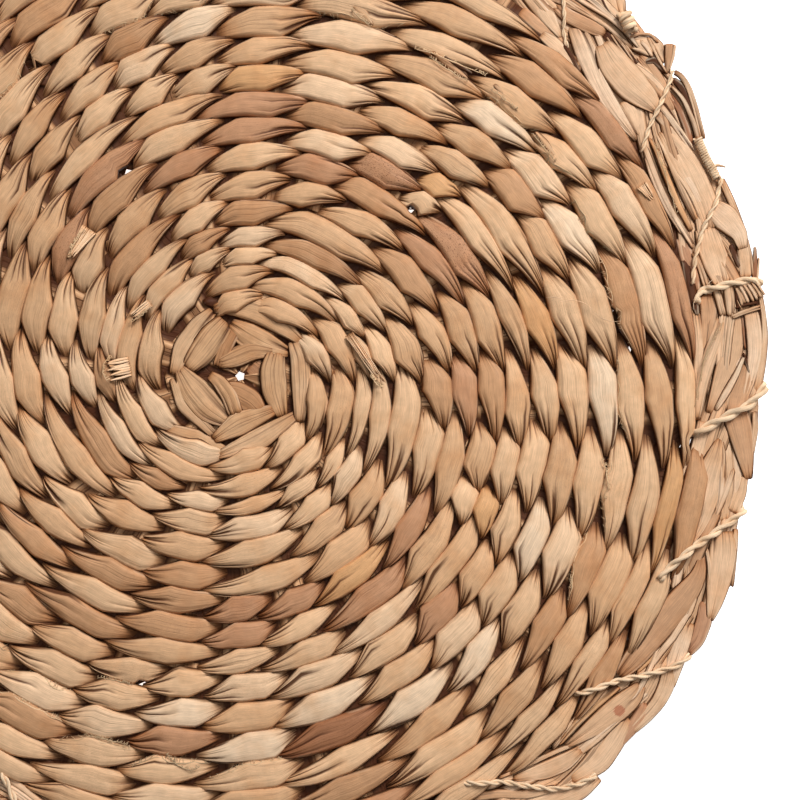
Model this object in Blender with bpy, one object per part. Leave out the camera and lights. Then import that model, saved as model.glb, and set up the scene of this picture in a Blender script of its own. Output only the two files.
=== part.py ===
"""Round woven trivet.

A disc of leaf strips is twined over radial spokes in one spiral, and a flat plaited rim is bound
round it with a twisted twine. Metres, +Z up. The origin is at the middle of the weave, on the
surface that the trivet rests on. Angles run clockwise from +X as seen from above, the way the
weave winds, and are in degrees.
"""

import math
from collections import namedtuple

import bmesh
import bpy
from mathutils import Matrix
from mathutils.geometry import delaunay_2d_cdt

MM = 0.001

# Driving dimensions, in millimetres
WEAVE_RADIUS = 120.7
WEAVE_THICKNESS = 8.0
RIM_OUTER_RADIUS = 140.0
RIM_THICKNESS = 4.8
RIM_MIDDLE_HEIGHT = 5.3
JOINT_GAP = 0.3
TWINE_RADIUS = 1.1
TWINE_CLEARANCE = 0.35
HOLE_CLEARANCE = 0.6

# The weave's spiral, from the middle outwards
Zone = namedtuple("Zone", "turns pitch stitches")
ZONES = (
    Zone(turns=1, pitch=6.1, stitches=5),
    Zone(turns=1, pitch=6.1, stitches=6),
    Zone(turns=2, pitch=6.1, stitches=10),
    Zone(turns=3, pitch=6.0, stitches=15),
    Zone(turns=2, pitch=7.2, stitches=20),
    Zone(turns=2, pitch=6.9, stitches=22),
    Zone(turns=7, pitch=7.7, stitches=30),
)
FIRST_GROOVE_RADIUS = 6.3
CENTRE_RING_RADIUS = 3.9
CENTRE_DIP = 2.0
CENTRE_RING_DIP = 0.6

# Rows of points along the spiral: place across a turn, depth under the face, lean in stitches,
# and how far the row sinks between two stitches
Row = namedtuple("Row", "across depth lean sink")
FACE_ROWS = (
    Row(across=0.0, depth=2.4, lean=0.0, sink=0.0),
    Row(across=0.32, depth=0.0, lean=-0.1, sink=1.3),
    Row(across=0.68, depth=0.2, lean=0.1, sink=1.3),
)
BACK_ROWS = (
    Row(across=0.0, depth=1.6, lean=0.0, sink=0.0),
    Row(across=0.3, depth=0.0, lean=0.0, sink=0.0),
    Row(across=0.7, depth=0.0, lean=0.0, sink=0.0),
)
FACE_POINTS_PER_STITCH = 2
FEWEST_POINTS_PER_TURN = 12
EDGE_STEPS = 60
EDGE_BULGE = 1.0
EDGE_DROP = 1.6
EDGE_MARGIN = 2.4
SAME_POINT_DISTANCE = 0.00001

# The three-strand plait of the rim
PLAIT_TURNS = 10
PLAIT_SWING = 4.5
PLAIT_STRAND_WIDTH = 10.0
PLAIT_RELIEF = 1.3
SCALLOP_LEVEL = 0.75
CROSSING_SHARE = 0.6
RIM_STEPS = 150
RIM_SECTION_POINTS = 12
SECTION_ROUNDNESS = 0.75
RIM_WANDER = 1.2
RIM_WANDER_ANGLE = 35.0
SPLICE_ANGLE = 319.5
SPLICE_WIDTH = 1.3
SPLICE_REACH = 5.0

# Stitches of the binding twine: where each crosses the rim's outer edge and its inner edge
Stitch = namedtuple("Stitch", "outer inner")
SEEN_STITCHES = (
    Stitch(outer=-10.5, inner=-10.0),
    Stitch(outer=-8.1, inner=-7.6),
    Stitch(outer=2.5, inner=7.5),
    Stitch(outer=16.0, inner=26.0),
    Stitch(outer=32.5, inner=43.0),
    Stitch(outer=50.0, inner=62.0),
)
LAST_STITCHES = (
    Stitch(outer=324.0, inner=330.0),
    Stitch(outer=338.0, inner=347.0),
)
EVEN_STITCHES = 17
EVEN_LEAN = 10.0
TWINE_TAIL = 0.3
HOLE_INSET = 1.3
HOLE_RADIUS = WEAVE_RADIUS - HOLE_INSET
HOLE_SIDES = 8

# How the twine turns round the rim's outer edge, in millimetres: where the bend starts, its
# shoulder, and half the upright stretch beside the edge. Then its bend into a hole of the weave.
BEND_START = 3.5
SHOULDER_INSET = 0.9
SHOULDER_DROP = 0.65
UPRIGHT_HALF = 1.0
HOLE_BEND_REACH = 2.05
HOLE_BEND_DROP = 1.25
EDGE_SAMPLES = (-1.2, -0.6, 0.0, 0.6, 1.2)

LEAF_ROUGHNESS = 0.7
TWINE_ROUGHNESS = 0.75
LEAF_COLOUR = (0.65, 0.41, 0.21, 1.0)
PLAIT_COLOUR = (0.58, 0.35, 0.18, 1.0)
TWINE_COLOUR = (0.78, 0.58, 0.36, 1.0)


def clear_scene():
    """Remove whatever the open file holds."""
    for item in list(bpy.data.objects):
        bpy.data.objects.remove(item, do_unlink=True)


def make_collection(name):
    """A collection of its own in the scene."""
    collection = bpy.data.collections.new(name)
    bpy.context.scene.collection.children.link(collection)
    return collection


def make_material(name, colour, roughness):
    """A matt material of one colour."""
    material = bpy.data.materials.new(name)
    material.use_nodes = True
    shader = material.node_tree.nodes["Principled BSDF"]
    shader.inputs["Base Color"].default_value = colour
    shader.inputs["Roughness"].default_value = roughness
    shader.inputs["Metallic"].default_value = 0.0
    return material


def polar(radius, angle):
    """Place in the plane, in millimetres, of a radius and a clockwise angle."""
    turn = math.radians(angle)
    return radius * math.cos(turn), -radius * math.sin(turn)


def groove_radius(turn):
    """Radius of the groove on the inner side of the spiral, so many turns from its start."""
    radius = FIRST_GROOVE_RADIUS
    for zone in ZONES:
        passed = min(turn, zone.turns)
        radius += passed * zone.pitch
        turn -= passed
        if turn <= 0:
            break
    return radius


def spiral_row(row, points_per_stitch):
    """Points of one row along the whole spiral, as x, y and depth under the face."""
    points = []
    first_turn = 0
    for zone in ZONES:
        steps_per_stitch = max(points_per_stitch, math.ceil(FEWEST_POINTS_PER_TURN / zone.stitches))
        for step in range(zone.turns * zone.stitches * steps_per_stitch):
            stitches = step / steps_per_stitch + row.lean
            turn = first_turn + stitches / zone.stitches
            radius = groove_radius(turn + row.across)
            if radius > WEAVE_RADIUS - EDGE_MARGIN:
                return points
            between = step % steps_per_stitch == 0
            depth = row.depth + (row.sink if between else 0.0)
            points.append((*polar(radius, turn * 360.0), depth))
        first_turn += zone.turns
    return points


def surface_mesh(rows, points_per_stitch, centre_depths):
    """Triangles over the whole disc with the rows kept as edges: points, faces, edge circle."""
    points = [(0.0, 0.0, centre_depths[0])]
    for step in range(FEWEST_POINTS_PER_TURN):
        angle = step * 360.0 / FEWEST_POINTS_PER_TURN
        points.append((*polar(CENTRE_RING_RADIUS, angle), centre_depths[1]))
    kept_edges = []
    for row in rows:
        row_points = spiral_row(row, points_per_stitch)
        start = len(points)
        points.extend(row_points)
        kept_edges.extend((start + i, start + i + 1) for i in range(len(row_points) - 1))
    circle = len(points)
    for step in range(EDGE_STEPS):
        angle = step * 360.0 / EDGE_STEPS
        points.append((*polar(WEAVE_RADIUS - EDGE_BULGE, angle), EDGE_DROP))
        kept_edges.append((circle + step, circle + (step + 1) % EDGE_STEPS))

    flat = [(x, y) for x, y, _ in points]
    found, _, faces, sources, _, _ = delaunay_2d_cdt(flat, kept_edges, [], 0, SAME_POINT_DISTANCE)
    place_of = {source: place for place, group in enumerate(sources) for source in group}
    depths = [points[group[0]][2] for group in sources]
    surface = [(spot[0], spot[1], depth) for spot, depth in zip(found, depths)]
    edge_circle = [place_of[circle + step] for step in range(EDGE_STEPS)]
    return surface, faces, edge_circle


def add_woven_disc(parts, holes):
    """The twined disc: ribs with a bump for each stitch above, and flat-bottomed ribs below."""
    face = surface_mesh(FACE_ROWS, FACE_POINTS_PER_STITCH, (CENTRE_DIP, CENTRE_RING_DIP))
    back = surface_mesh(BACK_ROWS, 1, (0.0, 0.0))
    shape = bmesh.new()
    tops = [shape.verts.new((x, y, WEAVE_THICKNESS - depth)) for x, y, depth in face[0]]
    bottoms = [shape.verts.new((x, y, depth)) for x, y, depth in back[0]]
    for corners in face[1]:
        shape.faces.new([tops[i] for i in corners])
    for corners in back[1]:
        shape.faces.new([bottoms[i] for i in reversed(corners)])

    upper = [tops[i] for i in face[2]]
    lower = [bottoms[i] for i in back[2]]
    middle = []
    for step in range(EDGE_STEPS):
        x, y = polar(WEAVE_RADIUS, step * 360.0 / EDGE_STEPS)
        middle.append(shape.verts.new((x, y, WEAVE_THICKNESS / 2)))
    for above, below in ((upper, middle), (middle, lower)):
        for step in range(EDGE_STEPS):
            after = (step + 1) % EDGE_STEPS
            shape.faces.new((above[step], above[after], below[after], below[step]))
    bmesh.ops.recalc_face_normals(shape, faces=shape.faces)
    bmesh.ops.scale(shape, vec=(MM, MM, MM), verts=shape.verts)

    mesh = bpy.data.meshes.new("woven_disc")
    shape.to_mesh(mesh)
    shape.free()
    disc = bpy.data.objects.new("woven_disc", mesh)
    parts.objects.link(disc)
    cut_by(disc, holes)
    disc.data.materials.append(make_material("leaf_strip", LEAF_COLOUR, LEAF_ROUGHNESS))
    return disc


def strand_phases(angle):
    """Phases of the plait's three strands at an angle."""
    start = math.radians(angle * PLAIT_TURNS)
    return [start + strand * math.tau / 3 for strand in range(3)]


def rim_outer_radius(angle):
    """Radius of the rim's outer edge: a scallop where each strand turns back, and the splice."""
    scallop = PLAIT_SWING * (max(math.sin(phase) for phase in strand_phases(angle)) - SCALLOP_LEVEL)
    wander = RIM_WANDER * math.cos(math.radians(angle - RIM_WANDER_ANGLE))
    from_splice = (angle - SPLICE_ANGLE + 180.0) % 360.0 - 180.0
    splice = SPLICE_REACH * math.exp(-0.5 * (from_splice / SPLICE_WIDTH) ** 2)
    return RIM_OUTER_RADIUS + scallop + wander + splice


def plait_height(offset, angle, side):
    """Height of the uppermost strand, 0 to 1, at a distance from the plait's middle line."""
    heights = [0.0]
    for phase in strand_phases(angle):
        across = (offset - PLAIT_SWING * math.sin(phase)) / (PLAIT_STRAND_WIDTH / 2)
        if abs(across) < 1.0:
            crossing = (1 + side * math.sin(2 * phase)) / 2
            crown = 1 - across * across
            heights.append(CROSSING_SHARE * crossing + (1 - CROSSING_SHARE) * crown)
    return max(heights)


def rounded(value):
    """A sine or cosine pushed outwards, so that a round section becomes a flat one."""
    return math.copysign(abs(value) ** SECTION_ROUNDNESS, value)


def add_plaited_rim(parts):
    """The plait: a flat ring section with the three strands raised in its upper and lower face."""
    inner = WEAVE_RADIUS + JOINT_GAP
    middle = (RIM_OUTER_RADIUS + inner) / 2
    ring_radius = RIM_THICKNESS / 2 * MM
    bpy.ops.mesh.primitive_torus_add(
        major_segments=RIM_STEPS, minor_segments=RIM_SECTION_POINTS,
        major_radius=middle * MM, minor_radius=ring_radius)
    rim = bpy.context.object
    rim.name = rim.data.name = "plaited_rim"
    for vertex in rim.data.vertices:
        x, y, z = vertex.co
        angle = math.degrees(math.atan2(-y, x))
        outward = rounded((math.hypot(x, y) - middle * MM) / ring_radius)
        upward = rounded(z / ring_radius)
        reach = rim_outer_radius(angle) - middle if outward > 0 else middle - inner
        offset = outward * reach
        side = 1 if upward > 0 else -1
        relief = PLAIT_RELIEF * abs(upward) * (1 - plait_height(offset, angle, side))
        height = RIM_MIDDLE_HEIGHT + upward * RIM_THICKNESS / 2 - side * relief
        vertex.co = (*(part * MM for part in polar(middle + offset, angle)), height * MM)
    for collection in list(rim.users_collection):
        collection.objects.unlink(rim)
    parts.objects.link(rim)
    rim.data.shade_smooth()
    rim.data.materials.append(make_material("plait_leaf", PLAIT_COLOUR, LEAF_ROUGHNESS))
    return rim


def all_stitches():
    """Every stitch of the twine in order, the even ones filling the stretch between the others."""
    start = SEEN_STITCHES[-1].outer
    spacing = (LAST_STITCHES[0].outer - start) / (EVEN_STITCHES + 1)
    even = []
    for count in range(1, EVEN_STITCHES + 1):
        outer = start + count * spacing
        even.append(Stitch(outer=outer, inner=outer + EVEN_LEAN))
    return [*SEEN_STITCHES, *even, *LAST_STITCHES]


def add_sewing_holes(cutters):
    """Cutter: a small upright hole for each stitch, in the weave just inside the rim."""
    shape = bmesh.new()
    for stitch in all_stitches():
        x, y = polar(HOLE_RADIUS, stitch.inner)
        place = Matrix.Translation((x * MM, y * MM, WEAVE_THICKNESS / 2 * MM))
        radius = (TWINE_RADIUS + HOLE_CLEARANCE) * MM
        bmesh.ops.create_cone(
            shape, cap_ends=True, segments=HOLE_SIDES, radius1=radius, radius2=radius,
            depth=3 * WEAVE_THICKNESS * MM, matrix=place)
    mesh = bpy.data.meshes.new("sewing_holes")
    shape.to_mesh(mesh)
    shape.free()
    holes = bpy.data.objects.new("sewing_holes", mesh)
    holes.hide_render = True
    holes.display_type = "WIRE"
    cutters.objects.link(holes)
    return holes


def cut_by(item, cutter):
    """Cut a piece with an exact Boolean."""
    cut = item.modifiers.new("sewing_holes", "BOOLEAN")
    cut.operation = "DIFFERENCE"
    cut.solver = "EXACT"
    cut.object = cutter


def twine_loop(stitch, next_outer):
    """Route of one stitch from the rim's lower outer side round to its lower middle."""
    away = TWINE_RADIUS + TWINE_CLEARANCE
    edge = max(rim_outer_radius(stitch.outer + turn) for turn in EDGE_SAMPLES)
    top = RIM_MIDDLE_HEIGHT + RIM_THICKNESS / 2 + away
    bottom = RIM_MIDDLE_HEIGHT - RIM_THICKNESS / 2 - away
    middle = (edge + HOLE_RADIUS) / 2
    half_lean = (stitch.outer + stitch.inner) / 2
    half_return = (stitch.inner + next_outer) / 2
    return [
        (edge - BEND_START, stitch.outer, bottom),
        (edge - SHOULDER_INSET, stitch.outer, bottom + SHOULDER_DROP),
        (edge + away, stitch.outer, RIM_MIDDLE_HEIGHT - UPRIGHT_HALF),
        (edge + away, stitch.outer, RIM_MIDDLE_HEIGHT + UPRIGHT_HALF),
        (edge - SHOULDER_INSET, stitch.outer, top - SHOULDER_DROP),
        (edge - BEND_START, stitch.outer, top),
        (middle, half_lean, top),
        (HOLE_RADIUS + HOLE_BEND_REACH, stitch.inner, top),
        (HOLE_RADIUS, stitch.inner, top - HOLE_BEND_DROP),
        (HOLE_RADIUS, stitch.inner, bottom + HOLE_BEND_DROP),
        (HOLE_RADIUS + HOLE_BEND_REACH, stitch.inner, bottom),
        (middle, half_return, bottom),
    ]


def twine_route():
    """Route of the whole twine, as radius, angle and height, with both ends under the rim."""
    stitches = all_stitches()
    nexts = [stitch.outer for stitch in stitches[1:]] + [stitches[0].outer + 360.0]
    route = []
    for stitch, next_outer in zip(stitches, nexts):
        route.extend(twine_loop(stitch, next_outer))
    last = route.pop()
    before = route[-1]
    tail = tuple(a + (b - a) * TWINE_TAIL for a, b in zip(before, last))
    return [*route, tail]


def add_binding_twine(parts):
    """The twine as one tube, its filled ends welded on."""
    curve = bpy.data.curves.new("binding_twine", "CURVE")
    curve.dimensions = "3D"
    curve.bevel_depth = TWINE_RADIUS * MM
    curve.bevel_resolution = 2
    curve.use_fill_caps = True
    route = twine_route()
    spline = curve.splines.new("POLY")
    spline.points.add(len(route) - 1)
    for point, (radius, angle, height) in zip(spline.points, route):
        point.co = (*(part * MM for part in polar(radius, angle)), height * MM, 1.0)
    twine = bpy.data.objects.new("binding_twine", curve)
    parts.objects.link(twine)
    curve.materials.append(make_material("twine", TWINE_COLOUR, TWINE_ROUGHNESS))
    return twine


def build():
    """Make every piece of the trivet."""
    clear_scene()
    parts = make_collection("woven_trivet")
    cutters = make_collection("cutters")
    holes = add_sewing_holes(cutters)
    frame = bpy.data.objects.new("trivet_frame", None)
    parts.objects.link(frame)
    pieces = (add_woven_disc(parts, holes), add_plaited_rim(parts), add_binding_twine(parts))
    for piece in pieces:
        piece.parent = frame


build()
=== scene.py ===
# %% [markdown]
# # A round trivet, twined from dried leaf strips
# The trivet is a disc of flat leaf strips, twined two at a time round radial spokes, with a flat
# three-strand plait sewn round its edge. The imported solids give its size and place. Here every strip,
# crease and thread is modelled over them, so the finished model stays inside the same outline.

import math
from collections import namedtuple

import bpy
import numpy as np
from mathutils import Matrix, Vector
from mathutils.bvhtree import BVHTree


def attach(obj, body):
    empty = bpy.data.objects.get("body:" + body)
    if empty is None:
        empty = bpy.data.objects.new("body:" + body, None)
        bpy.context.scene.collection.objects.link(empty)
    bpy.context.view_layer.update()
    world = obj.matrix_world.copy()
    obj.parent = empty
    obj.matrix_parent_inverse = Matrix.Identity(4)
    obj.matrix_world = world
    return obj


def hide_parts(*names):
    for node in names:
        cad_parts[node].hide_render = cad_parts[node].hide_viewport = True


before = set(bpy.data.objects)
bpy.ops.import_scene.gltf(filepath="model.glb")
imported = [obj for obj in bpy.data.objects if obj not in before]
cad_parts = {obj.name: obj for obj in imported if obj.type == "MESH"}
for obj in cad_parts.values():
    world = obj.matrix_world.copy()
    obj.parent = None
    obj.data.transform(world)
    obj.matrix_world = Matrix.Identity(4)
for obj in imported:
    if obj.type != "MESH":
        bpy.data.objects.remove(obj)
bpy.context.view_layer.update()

# %% [markdown]
# ## One ruler for the whole trivet
# A photograph from straight above is a map. One picture point is a fixed length on the weave, and
# the middle of the weave is a fixed place in it, so every strip can be placed by angle and radius.
# Angles run clockwise from the right, the way the weave winds.

# %% Picture points to millimetres
MM = 0.001
POINT = 0.26415
PICTURE_SIZE = 800
WEAVE_CENTRE = (239.0, 376.0)
FULL_TURN = 360.0


def from_picture(x, y, z=0.0):
    """Places in the picture, and their heights in mm, as points of the model in mm."""
    right, up = (x - WEAVE_CENTRE[0]) * POINT, (WEAVE_CENTRE[1] - y) * POINT
    return np.stack(np.broadcast_arrays(right, up, z), axis=-1)


def to_picture(angle, radius):
    """Clockwise angle and radius as a picture point."""
    turn = math.radians(angle)
    return WEAVE_CENTRE[0] + radius * math.cos(turn), WEAVE_CENTRE[1] + radius * math.sin(turn)


def around(angle, radius, z):
    """Clockwise angle in degrees and radius in picture points, as points of the model in mm."""
    turn = np.radians(angle)
    right, up = radius * POINT * np.cos(turn), -radius * POINT * np.sin(turn)
    return np.stack(np.broadcast_arrays(right, up, z), axis=-1)


def outwards(angle):
    """The direction away from the middle at a clockwise angle."""
    turn = np.radians(angle)
    return np.stack([np.cos(turn), -np.sin(turn), np.zeros_like(turn)], axis=-1)


def apart(angle, other=0.0):
    """How far one clockwise angle is past another by the shorter way, in degrees."""
    return (np.asarray(angle) - other + FULL_TURN / 2) % FULL_TURN - FULL_TURN / 2


print("one picture point is", POINT, "mm, and the picture is", round(PICTURE_SIZE * POINT, 1), "mm wide")

# %% [markdown]
# ## The camera
# The photograph looks straight down and shows the right part of the trivet, so the camera hangs over
# the middle of that part, and the lens and the height together give the width of the frame.

# %% Camera
LENS = 90.0
SENSOR = 36.0
FACE_HEIGHT = 8.0
look_at = from_picture(PICTURE_SIZE / 2, PICTURE_SIZE / 2, FACE_HEIGHT)
camera_height = FACE_HEIGHT + PICTURE_SIZE * POINT * LENS / SENSOR
camera_data = bpy.data.cameras.new("camera")
camera_data.lens = LENS
camera_data.sensor_width = SENSOR
camera = bpy.data.objects.new("camera", camera_data)
camera.location = (look_at[0] * MM, look_at[1] * MM, camera_height * MM)
bpy.context.scene.collection.objects.link(camera)
bpy.context.scene.camera = camera
print("camera height, mm:", round(camera_height, 1))

# %% [markdown]
# ## Studio
# The trivet lies on a bright white table in wide soft light, brightest a little to the right. The
# table glows slightly, so no shadow shows beside the rim and the small holes of the weave read white.

# %% The table
# in metres, as Blender has them
TABLE_SIZE = 6.0
TABLE_DROP = 0.0004
bpy.ops.object.select_all(action="DESELECT")
bpy.ops.mesh.primitive_plane_add(size=TABLE_SIZE, location=(0.0, 0.0, -TABLE_DROP))
floor = bpy.context.object
floor.name = "pale_table"
table_finish = bpy.data.materials.new("white_table")
table_finish.use_nodes = True
table_shader = table_finish.node_tree.nodes["Principled BSDF"]
table_shader.inputs["Base Color"].default_value = (0.85, 0.85, 0.85, 1.0)
table_shader.inputs["Roughness"].default_value = 0.9
table_shader.inputs["Emission Color"].default_value = (1.0, 1.0, 1.0, 1.0)
table_shader.inputs["Emission Strength"].default_value = 0.9
floor.data.materials.append(table_finish)
print("table:", floor.name, "with", table_finish.name)

# %% Lights
# place and size in metres, power in watts
Lamp = namedtuple("Lamp", "name place size power")
LAMPS = (
    Lamp("key_softbox", (0.55, 1.0, 1.05), 0.6, 27.5),
    Lamp("overhead_softbox", (0.1, 0.1, 1.3), 1.0, 4.6),
)
LIT_PLACE = Vector((0.04, 0.0, 0.0))
AIR_LIGHT = 0.04


def add_lamp(lamp):
    """A square soft lamp that points at the trivet."""
    bpy.ops.object.light_add(type="AREA", location=lamp.place)
    light = bpy.context.object
    light.name = lamp.name
    light.data.size = lamp.size
    light.data.energy = lamp.power
    towards = LIT_PLACE - Vector(lamp.place)
    light.rotation_euler = towards.to_track_quat("-Z", "Y").to_euler()


for lamp in LAMPS:
    add_lamp(lamp)
world = bpy.data.worlds.new("studio_air")
world.use_nodes = True
world.node_tree.nodes["Background"].inputs["Color"].default_value = (1.0, 1.0, 1.0, 1.0)
world.node_tree.nodes["Background"].inputs["Strength"].default_value = AIR_LIGHT
bpy.context.scene.world = world
bpy.context.scene.view_settings.view_transform = "Standard"
print("lamps:", len(LAMPS))

# %% [markdown]
# ## The leaf finish
# A dried leaf is satin, with fine fibres all the way along it and a tone of its own. Each strip
# carries its tone, the painted shade of its creases, ends and edges and the run of its fibres as
# attributes of its points, so that one material serves them all.

# %% Colours of the dried leaf


def linear(red, green, blue):
    """A colour as seen on a screen, from 0 to 255, as the linear colour of a shader."""
    value = np.array([red, green, blue]) / 255.0
    return np.where(value <= 0.04045, value / 12.92, ((value + 0.055) / 1.055) ** 2.4)


TONES = {
    "straw": linear(230, 199, 166),
    "pale": linear(227, 190, 153),
    "tan": linear(221, 180, 140),
    "mid": linear(212, 168, 127),
    "dark": linear(196, 149, 109),
    "orange": linear(211, 161, 113),
    "ruddy": linear(190, 141, 105),
    "brown": linear(160, 109, 76),
    # the deep tone is no colour of a leaf: strips of it are dark sheets laid in gaps, as painted shade
    "deep": linear(84, 48, 26),
}
# the brown that tints are multiplied by: the leaf's own browning in its clouds, partly own browning and
# partly painted shade at its ends and edges, and painted shade in its creases
TOAST_AND_SHADE = np.array([0.80, 0.60, 0.42])
TOAST_AND_SHADE_COLOUR = (*TOAST_AND_SHADE, 1.0)
# the colour of painted shade: in folds, pleats, tucked ends, along edges and where a strip lies deep in the
# weave
PAINTED_SHADE_COLOUR = (*linear(72, 34, 12), 1.0)
SPOT_COLOUR = (*linear(96, 56, 34), 1.0)
PITH_COLOUR = (*linear(238, 216, 186), 1.0)
STAIN_COLOUR = (*linear(170, 92, 62), 1.0)
print("tones:", ", ".join(TONES))

# %% A material under construction
# places of a mix node's colour sockets, which share their names with its other sockets
COLOUR_INPUTS = (6, 7)
COLOUR_OUTPUT = 2
# most values of a noise lie between these
NOISE_LOW, NOISE_HIGH = 0.3, 0.7
EVEN = (1.0, 1.0, 1.0)


class Finish:
    """A material under construction, with short ways to add and join its nodes."""

    def __init__(self, name):
        self.material = bpy.data.materials.new(name)
        self.material.use_nodes = True
        self.nodes = self.material.node_tree.nodes
        self.shader = self.nodes["Principled BSDF"]

    def join(self, value, socket):
        """Sets a socket to a value, or links it to the node that makes the value."""
        if hasattr(value, "is_output"):
            self.material.node_tree.links.new(value, socket)
        else:
            socket.default_value = value

    def attribute(self, name, output="Fac"):
        """A value that the points of the mesh carry."""
        node = self.nodes.new("ShaderNodeAttribute")
        node.attribute_name = name
        return node.outputs[output]

    def mapped(self, vector, scale, location=(0.0, 0.0, 0.0)):
        """A place, stretched and then moved."""
        node = self.nodes.new("ShaderNodeMapping")
        node.inputs["Scale"].default_value = scale
        node.inputs["Location"].default_value = location
        self.join(vector, node.inputs["Vector"])
        return node.outputs["Vector"]

    def noise(self, vector, stretch, scale=1.0, detail=1.0):
        """A noise with so many waves for each unit of length, along each axis."""
        node = self.nodes.new("ShaderNodeTexNoise")
        node.inputs["Scale"].default_value = scale
        node.inputs["Detail"].default_value = detail
        self.join(self.mapped(vector, stretch), node.inputs["Vector"])
        return node.outputs["Fac"]

    def maths(self, operation, *values):
        """One operation on numbers."""
        node = self.nodes.new("ShaderNodeMath")
        node.operation = operation
        for value, socket in zip(values, node.inputs):
            self.join(value, socket)
        return node.outputs["Value"]

    def times(self, first, second):
        return self.maths("MULTIPLY", first, second)

    def scaled(self, vector, factor):
        node = self.nodes.new("ShaderNodeVectorMath")
        node.operation = "SCALE"
        self.join(vector, node.inputs[0])
        self.join(factor, node.inputs["Scale"])
        return node.outputs["Vector"]

    def length(self, vector):
        node = self.nodes.new("ShaderNodeVectorMath")
        node.operation = "LENGTH"
        self.join(vector, node.inputs[0])
        return node.outputs["Value"]

    def between(self, value, low, high, bottom=0.0, top=1.0):
        """A value from low to high, read as one from bottom to top."""
        node = self.nodes.new("ShaderNodeMapRange")
        self.join(value, node.inputs["Value"])
        for name, number in zip(("From Min", "From Max", "To Min", "To Max"), (low, high, bottom, top)):
            node.inputs[name].default_value = number
        return node.outputs["Result"]

    def swing(self, noise, bottom, top):
        """A noise, read so that it fills the range from bottom to top."""
        return self.between(noise, NOISE_LOW, NOISE_HIGH, bottom, top)

    def mix(self, factor, first, second, blend="MIX"):
        """The first colour at a factor of 0, the second one laid over it at 1."""
        node = self.nodes.new("ShaderNodeMix")
        node.data_type = "RGBA"
        node.blend_type = blend
        self.join(factor, node.inputs["Factor"])
        for value, socket in zip((first, second), COLOUR_INPUTS):
            self.join(value, node.inputs[socket])
        return node.outputs[COLOUR_OUTPUT]

    def relief(self, height, distance, strength):
        """Bumps on the surface, as high as the distance in metres."""
        node = self.nodes.new("ShaderNodeBump")
        node.inputs["Strength"].default_value = strength
        node.inputs["Distance"].default_value = distance
        self.join(height, node.inputs["Height"])
        self.join(node.outputs["Normal"], self.shader.inputs["Normal"])


print("most of a noise lies between", NOISE_LOW, "and", NOISE_HIGH)

# %% [markdown]
# ## The colours that lie over one another
# Under a lens a strip has light and dark fibres, a fine mottle and a few red specks. Its edges are
# pale along some lengths, partly pith and partly a painted highlight where they curl, and carry a
# painted shadow line along others, and folds and tucked ends get the darkest painted shade. Each of
# these is a layer of its own, mixed over the one before.

# %% Layers of the leaf's colour
# waves for each mm along, across and out of a strip
SPECK_STRETCH = (0.9, 2.4, 1.0)
EDGE_STRETCH = (0.14, 0.3, 1.0)
# waves for each metre of the trivet
MOTTLE_SCALE = 420.0
CLOUD_SCALE = 110.0
# in mm
STAIN_RADIUS = 2.0
STAIN_RIM = 0.35
STAIN_WOBBLE = 0.7


def dried_colour(leaf, grain, room, ribs, fibres, streak):
    """The strip's own tone, with its fibres, its mottle, its brown clouds and its specks."""
    mottle = leaf.noise(room, EVEN, MOTTLE_SCALE, detail=4.0)
    clouds = leaf.noise(room, EVEN, CLOUD_SCALE, detail=3.0)
    specks = leaf.noise(grain, SPECK_STRETCH, scale=1.7)
    fine = leaf.times(leaf.swing(fibres, 0.82, 1.11), leaf.swing(mottle, 1.08, 0.94))
    light = leaf.times(leaf.swing(ribs, 1.0 - streak, 1.0 + streak), fine)
    colour = leaf.scaled(leaf.attribute("tint", "Color"), light)
    clouded = leaf.times(leaf.between(clouds, 0.48, 0.75), 0.5)
    colour = leaf.mix(clouded, colour, TOAST_AND_SHADE_COLOUR, "MULTIPLY")
    speckled = leaf.times(leaf.between(specks, 0.60, 0.68), leaf.attribute("spots"))
    return leaf.mix(speckled, colour, SPOT_COLOUR)


def round_stain(leaf, colour, room, fibres, place):
    """One round stain with a rough edge, at a place in mm."""
    centred = leaf.mapped(room, (1.0, 1.0, 0.0), (-place[0] * MM, -place[1] * MM, 0.0))
    rough = leaf.swing(fibres, 0.0, STAIN_WOBBLE * MM)
    away = leaf.maths("ADD", leaf.length(centred), rough)
    inside = leaf.between(away, STAIN_RADIUS * MM, (STAIN_RADIUS - STAIN_RIM) * MM, 0.0, 0.72)
    return leaf.mix(inside, colour, STAIN_COLOUR)


def edged(leaf, colour, grain, bright, outlined):
    """Pale edges along some lengths, partly pith and partly a painted highlight where they curl, and a
    painted shadow line along the others.
    """
    margin = leaf.attribute("margin")
    wander = leaf.noise(grain, EDGE_STRETCH)
    pale = leaf.times(leaf.between(margin, 0.9, 0.45), leaf.between(wander, 0.52, 0.40, 0.0, bright))
    colour = leaf.mix(pale, colour, PITH_COLOUR)
    outline = leaf.between(wander, 0.36, 0.56, 0.35 * outlined, outlined)
    return leaf.mix(leaf.times(leaf.between(margin, 0.42, 0.12), outline), colour, PAINTED_SHADE_COLOUR)


def painted_shade_layer(leaf, colour, pleated):
    """Painted shade: dark in pleats and folds, and brown turning to dark at tucked ends, edges, undersides
    and low in the weave.
    """
    crease = leaf.attribute("crease")
    colour = leaf.mix(leaf.times(pleated, 0.72), colour, PAINTED_SHADE_COLOUR)
    colour = leaf.mix(leaf.between(leaf.attribute("fold"), 0.25, 0.8, 0.0, 0.92), colour, PAINTED_SHADE_COLOUR)
    colour = leaf.mix(leaf.between(crease, 0.0, 0.5, 0.0, 0.65), colour, TOAST_AND_SHADE_COLOUR, "MULTIPLY")
    return leaf.mix(leaf.between(crease, 0.12, 1.0), colour, PAINTED_SHADE_COLOUR)


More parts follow.
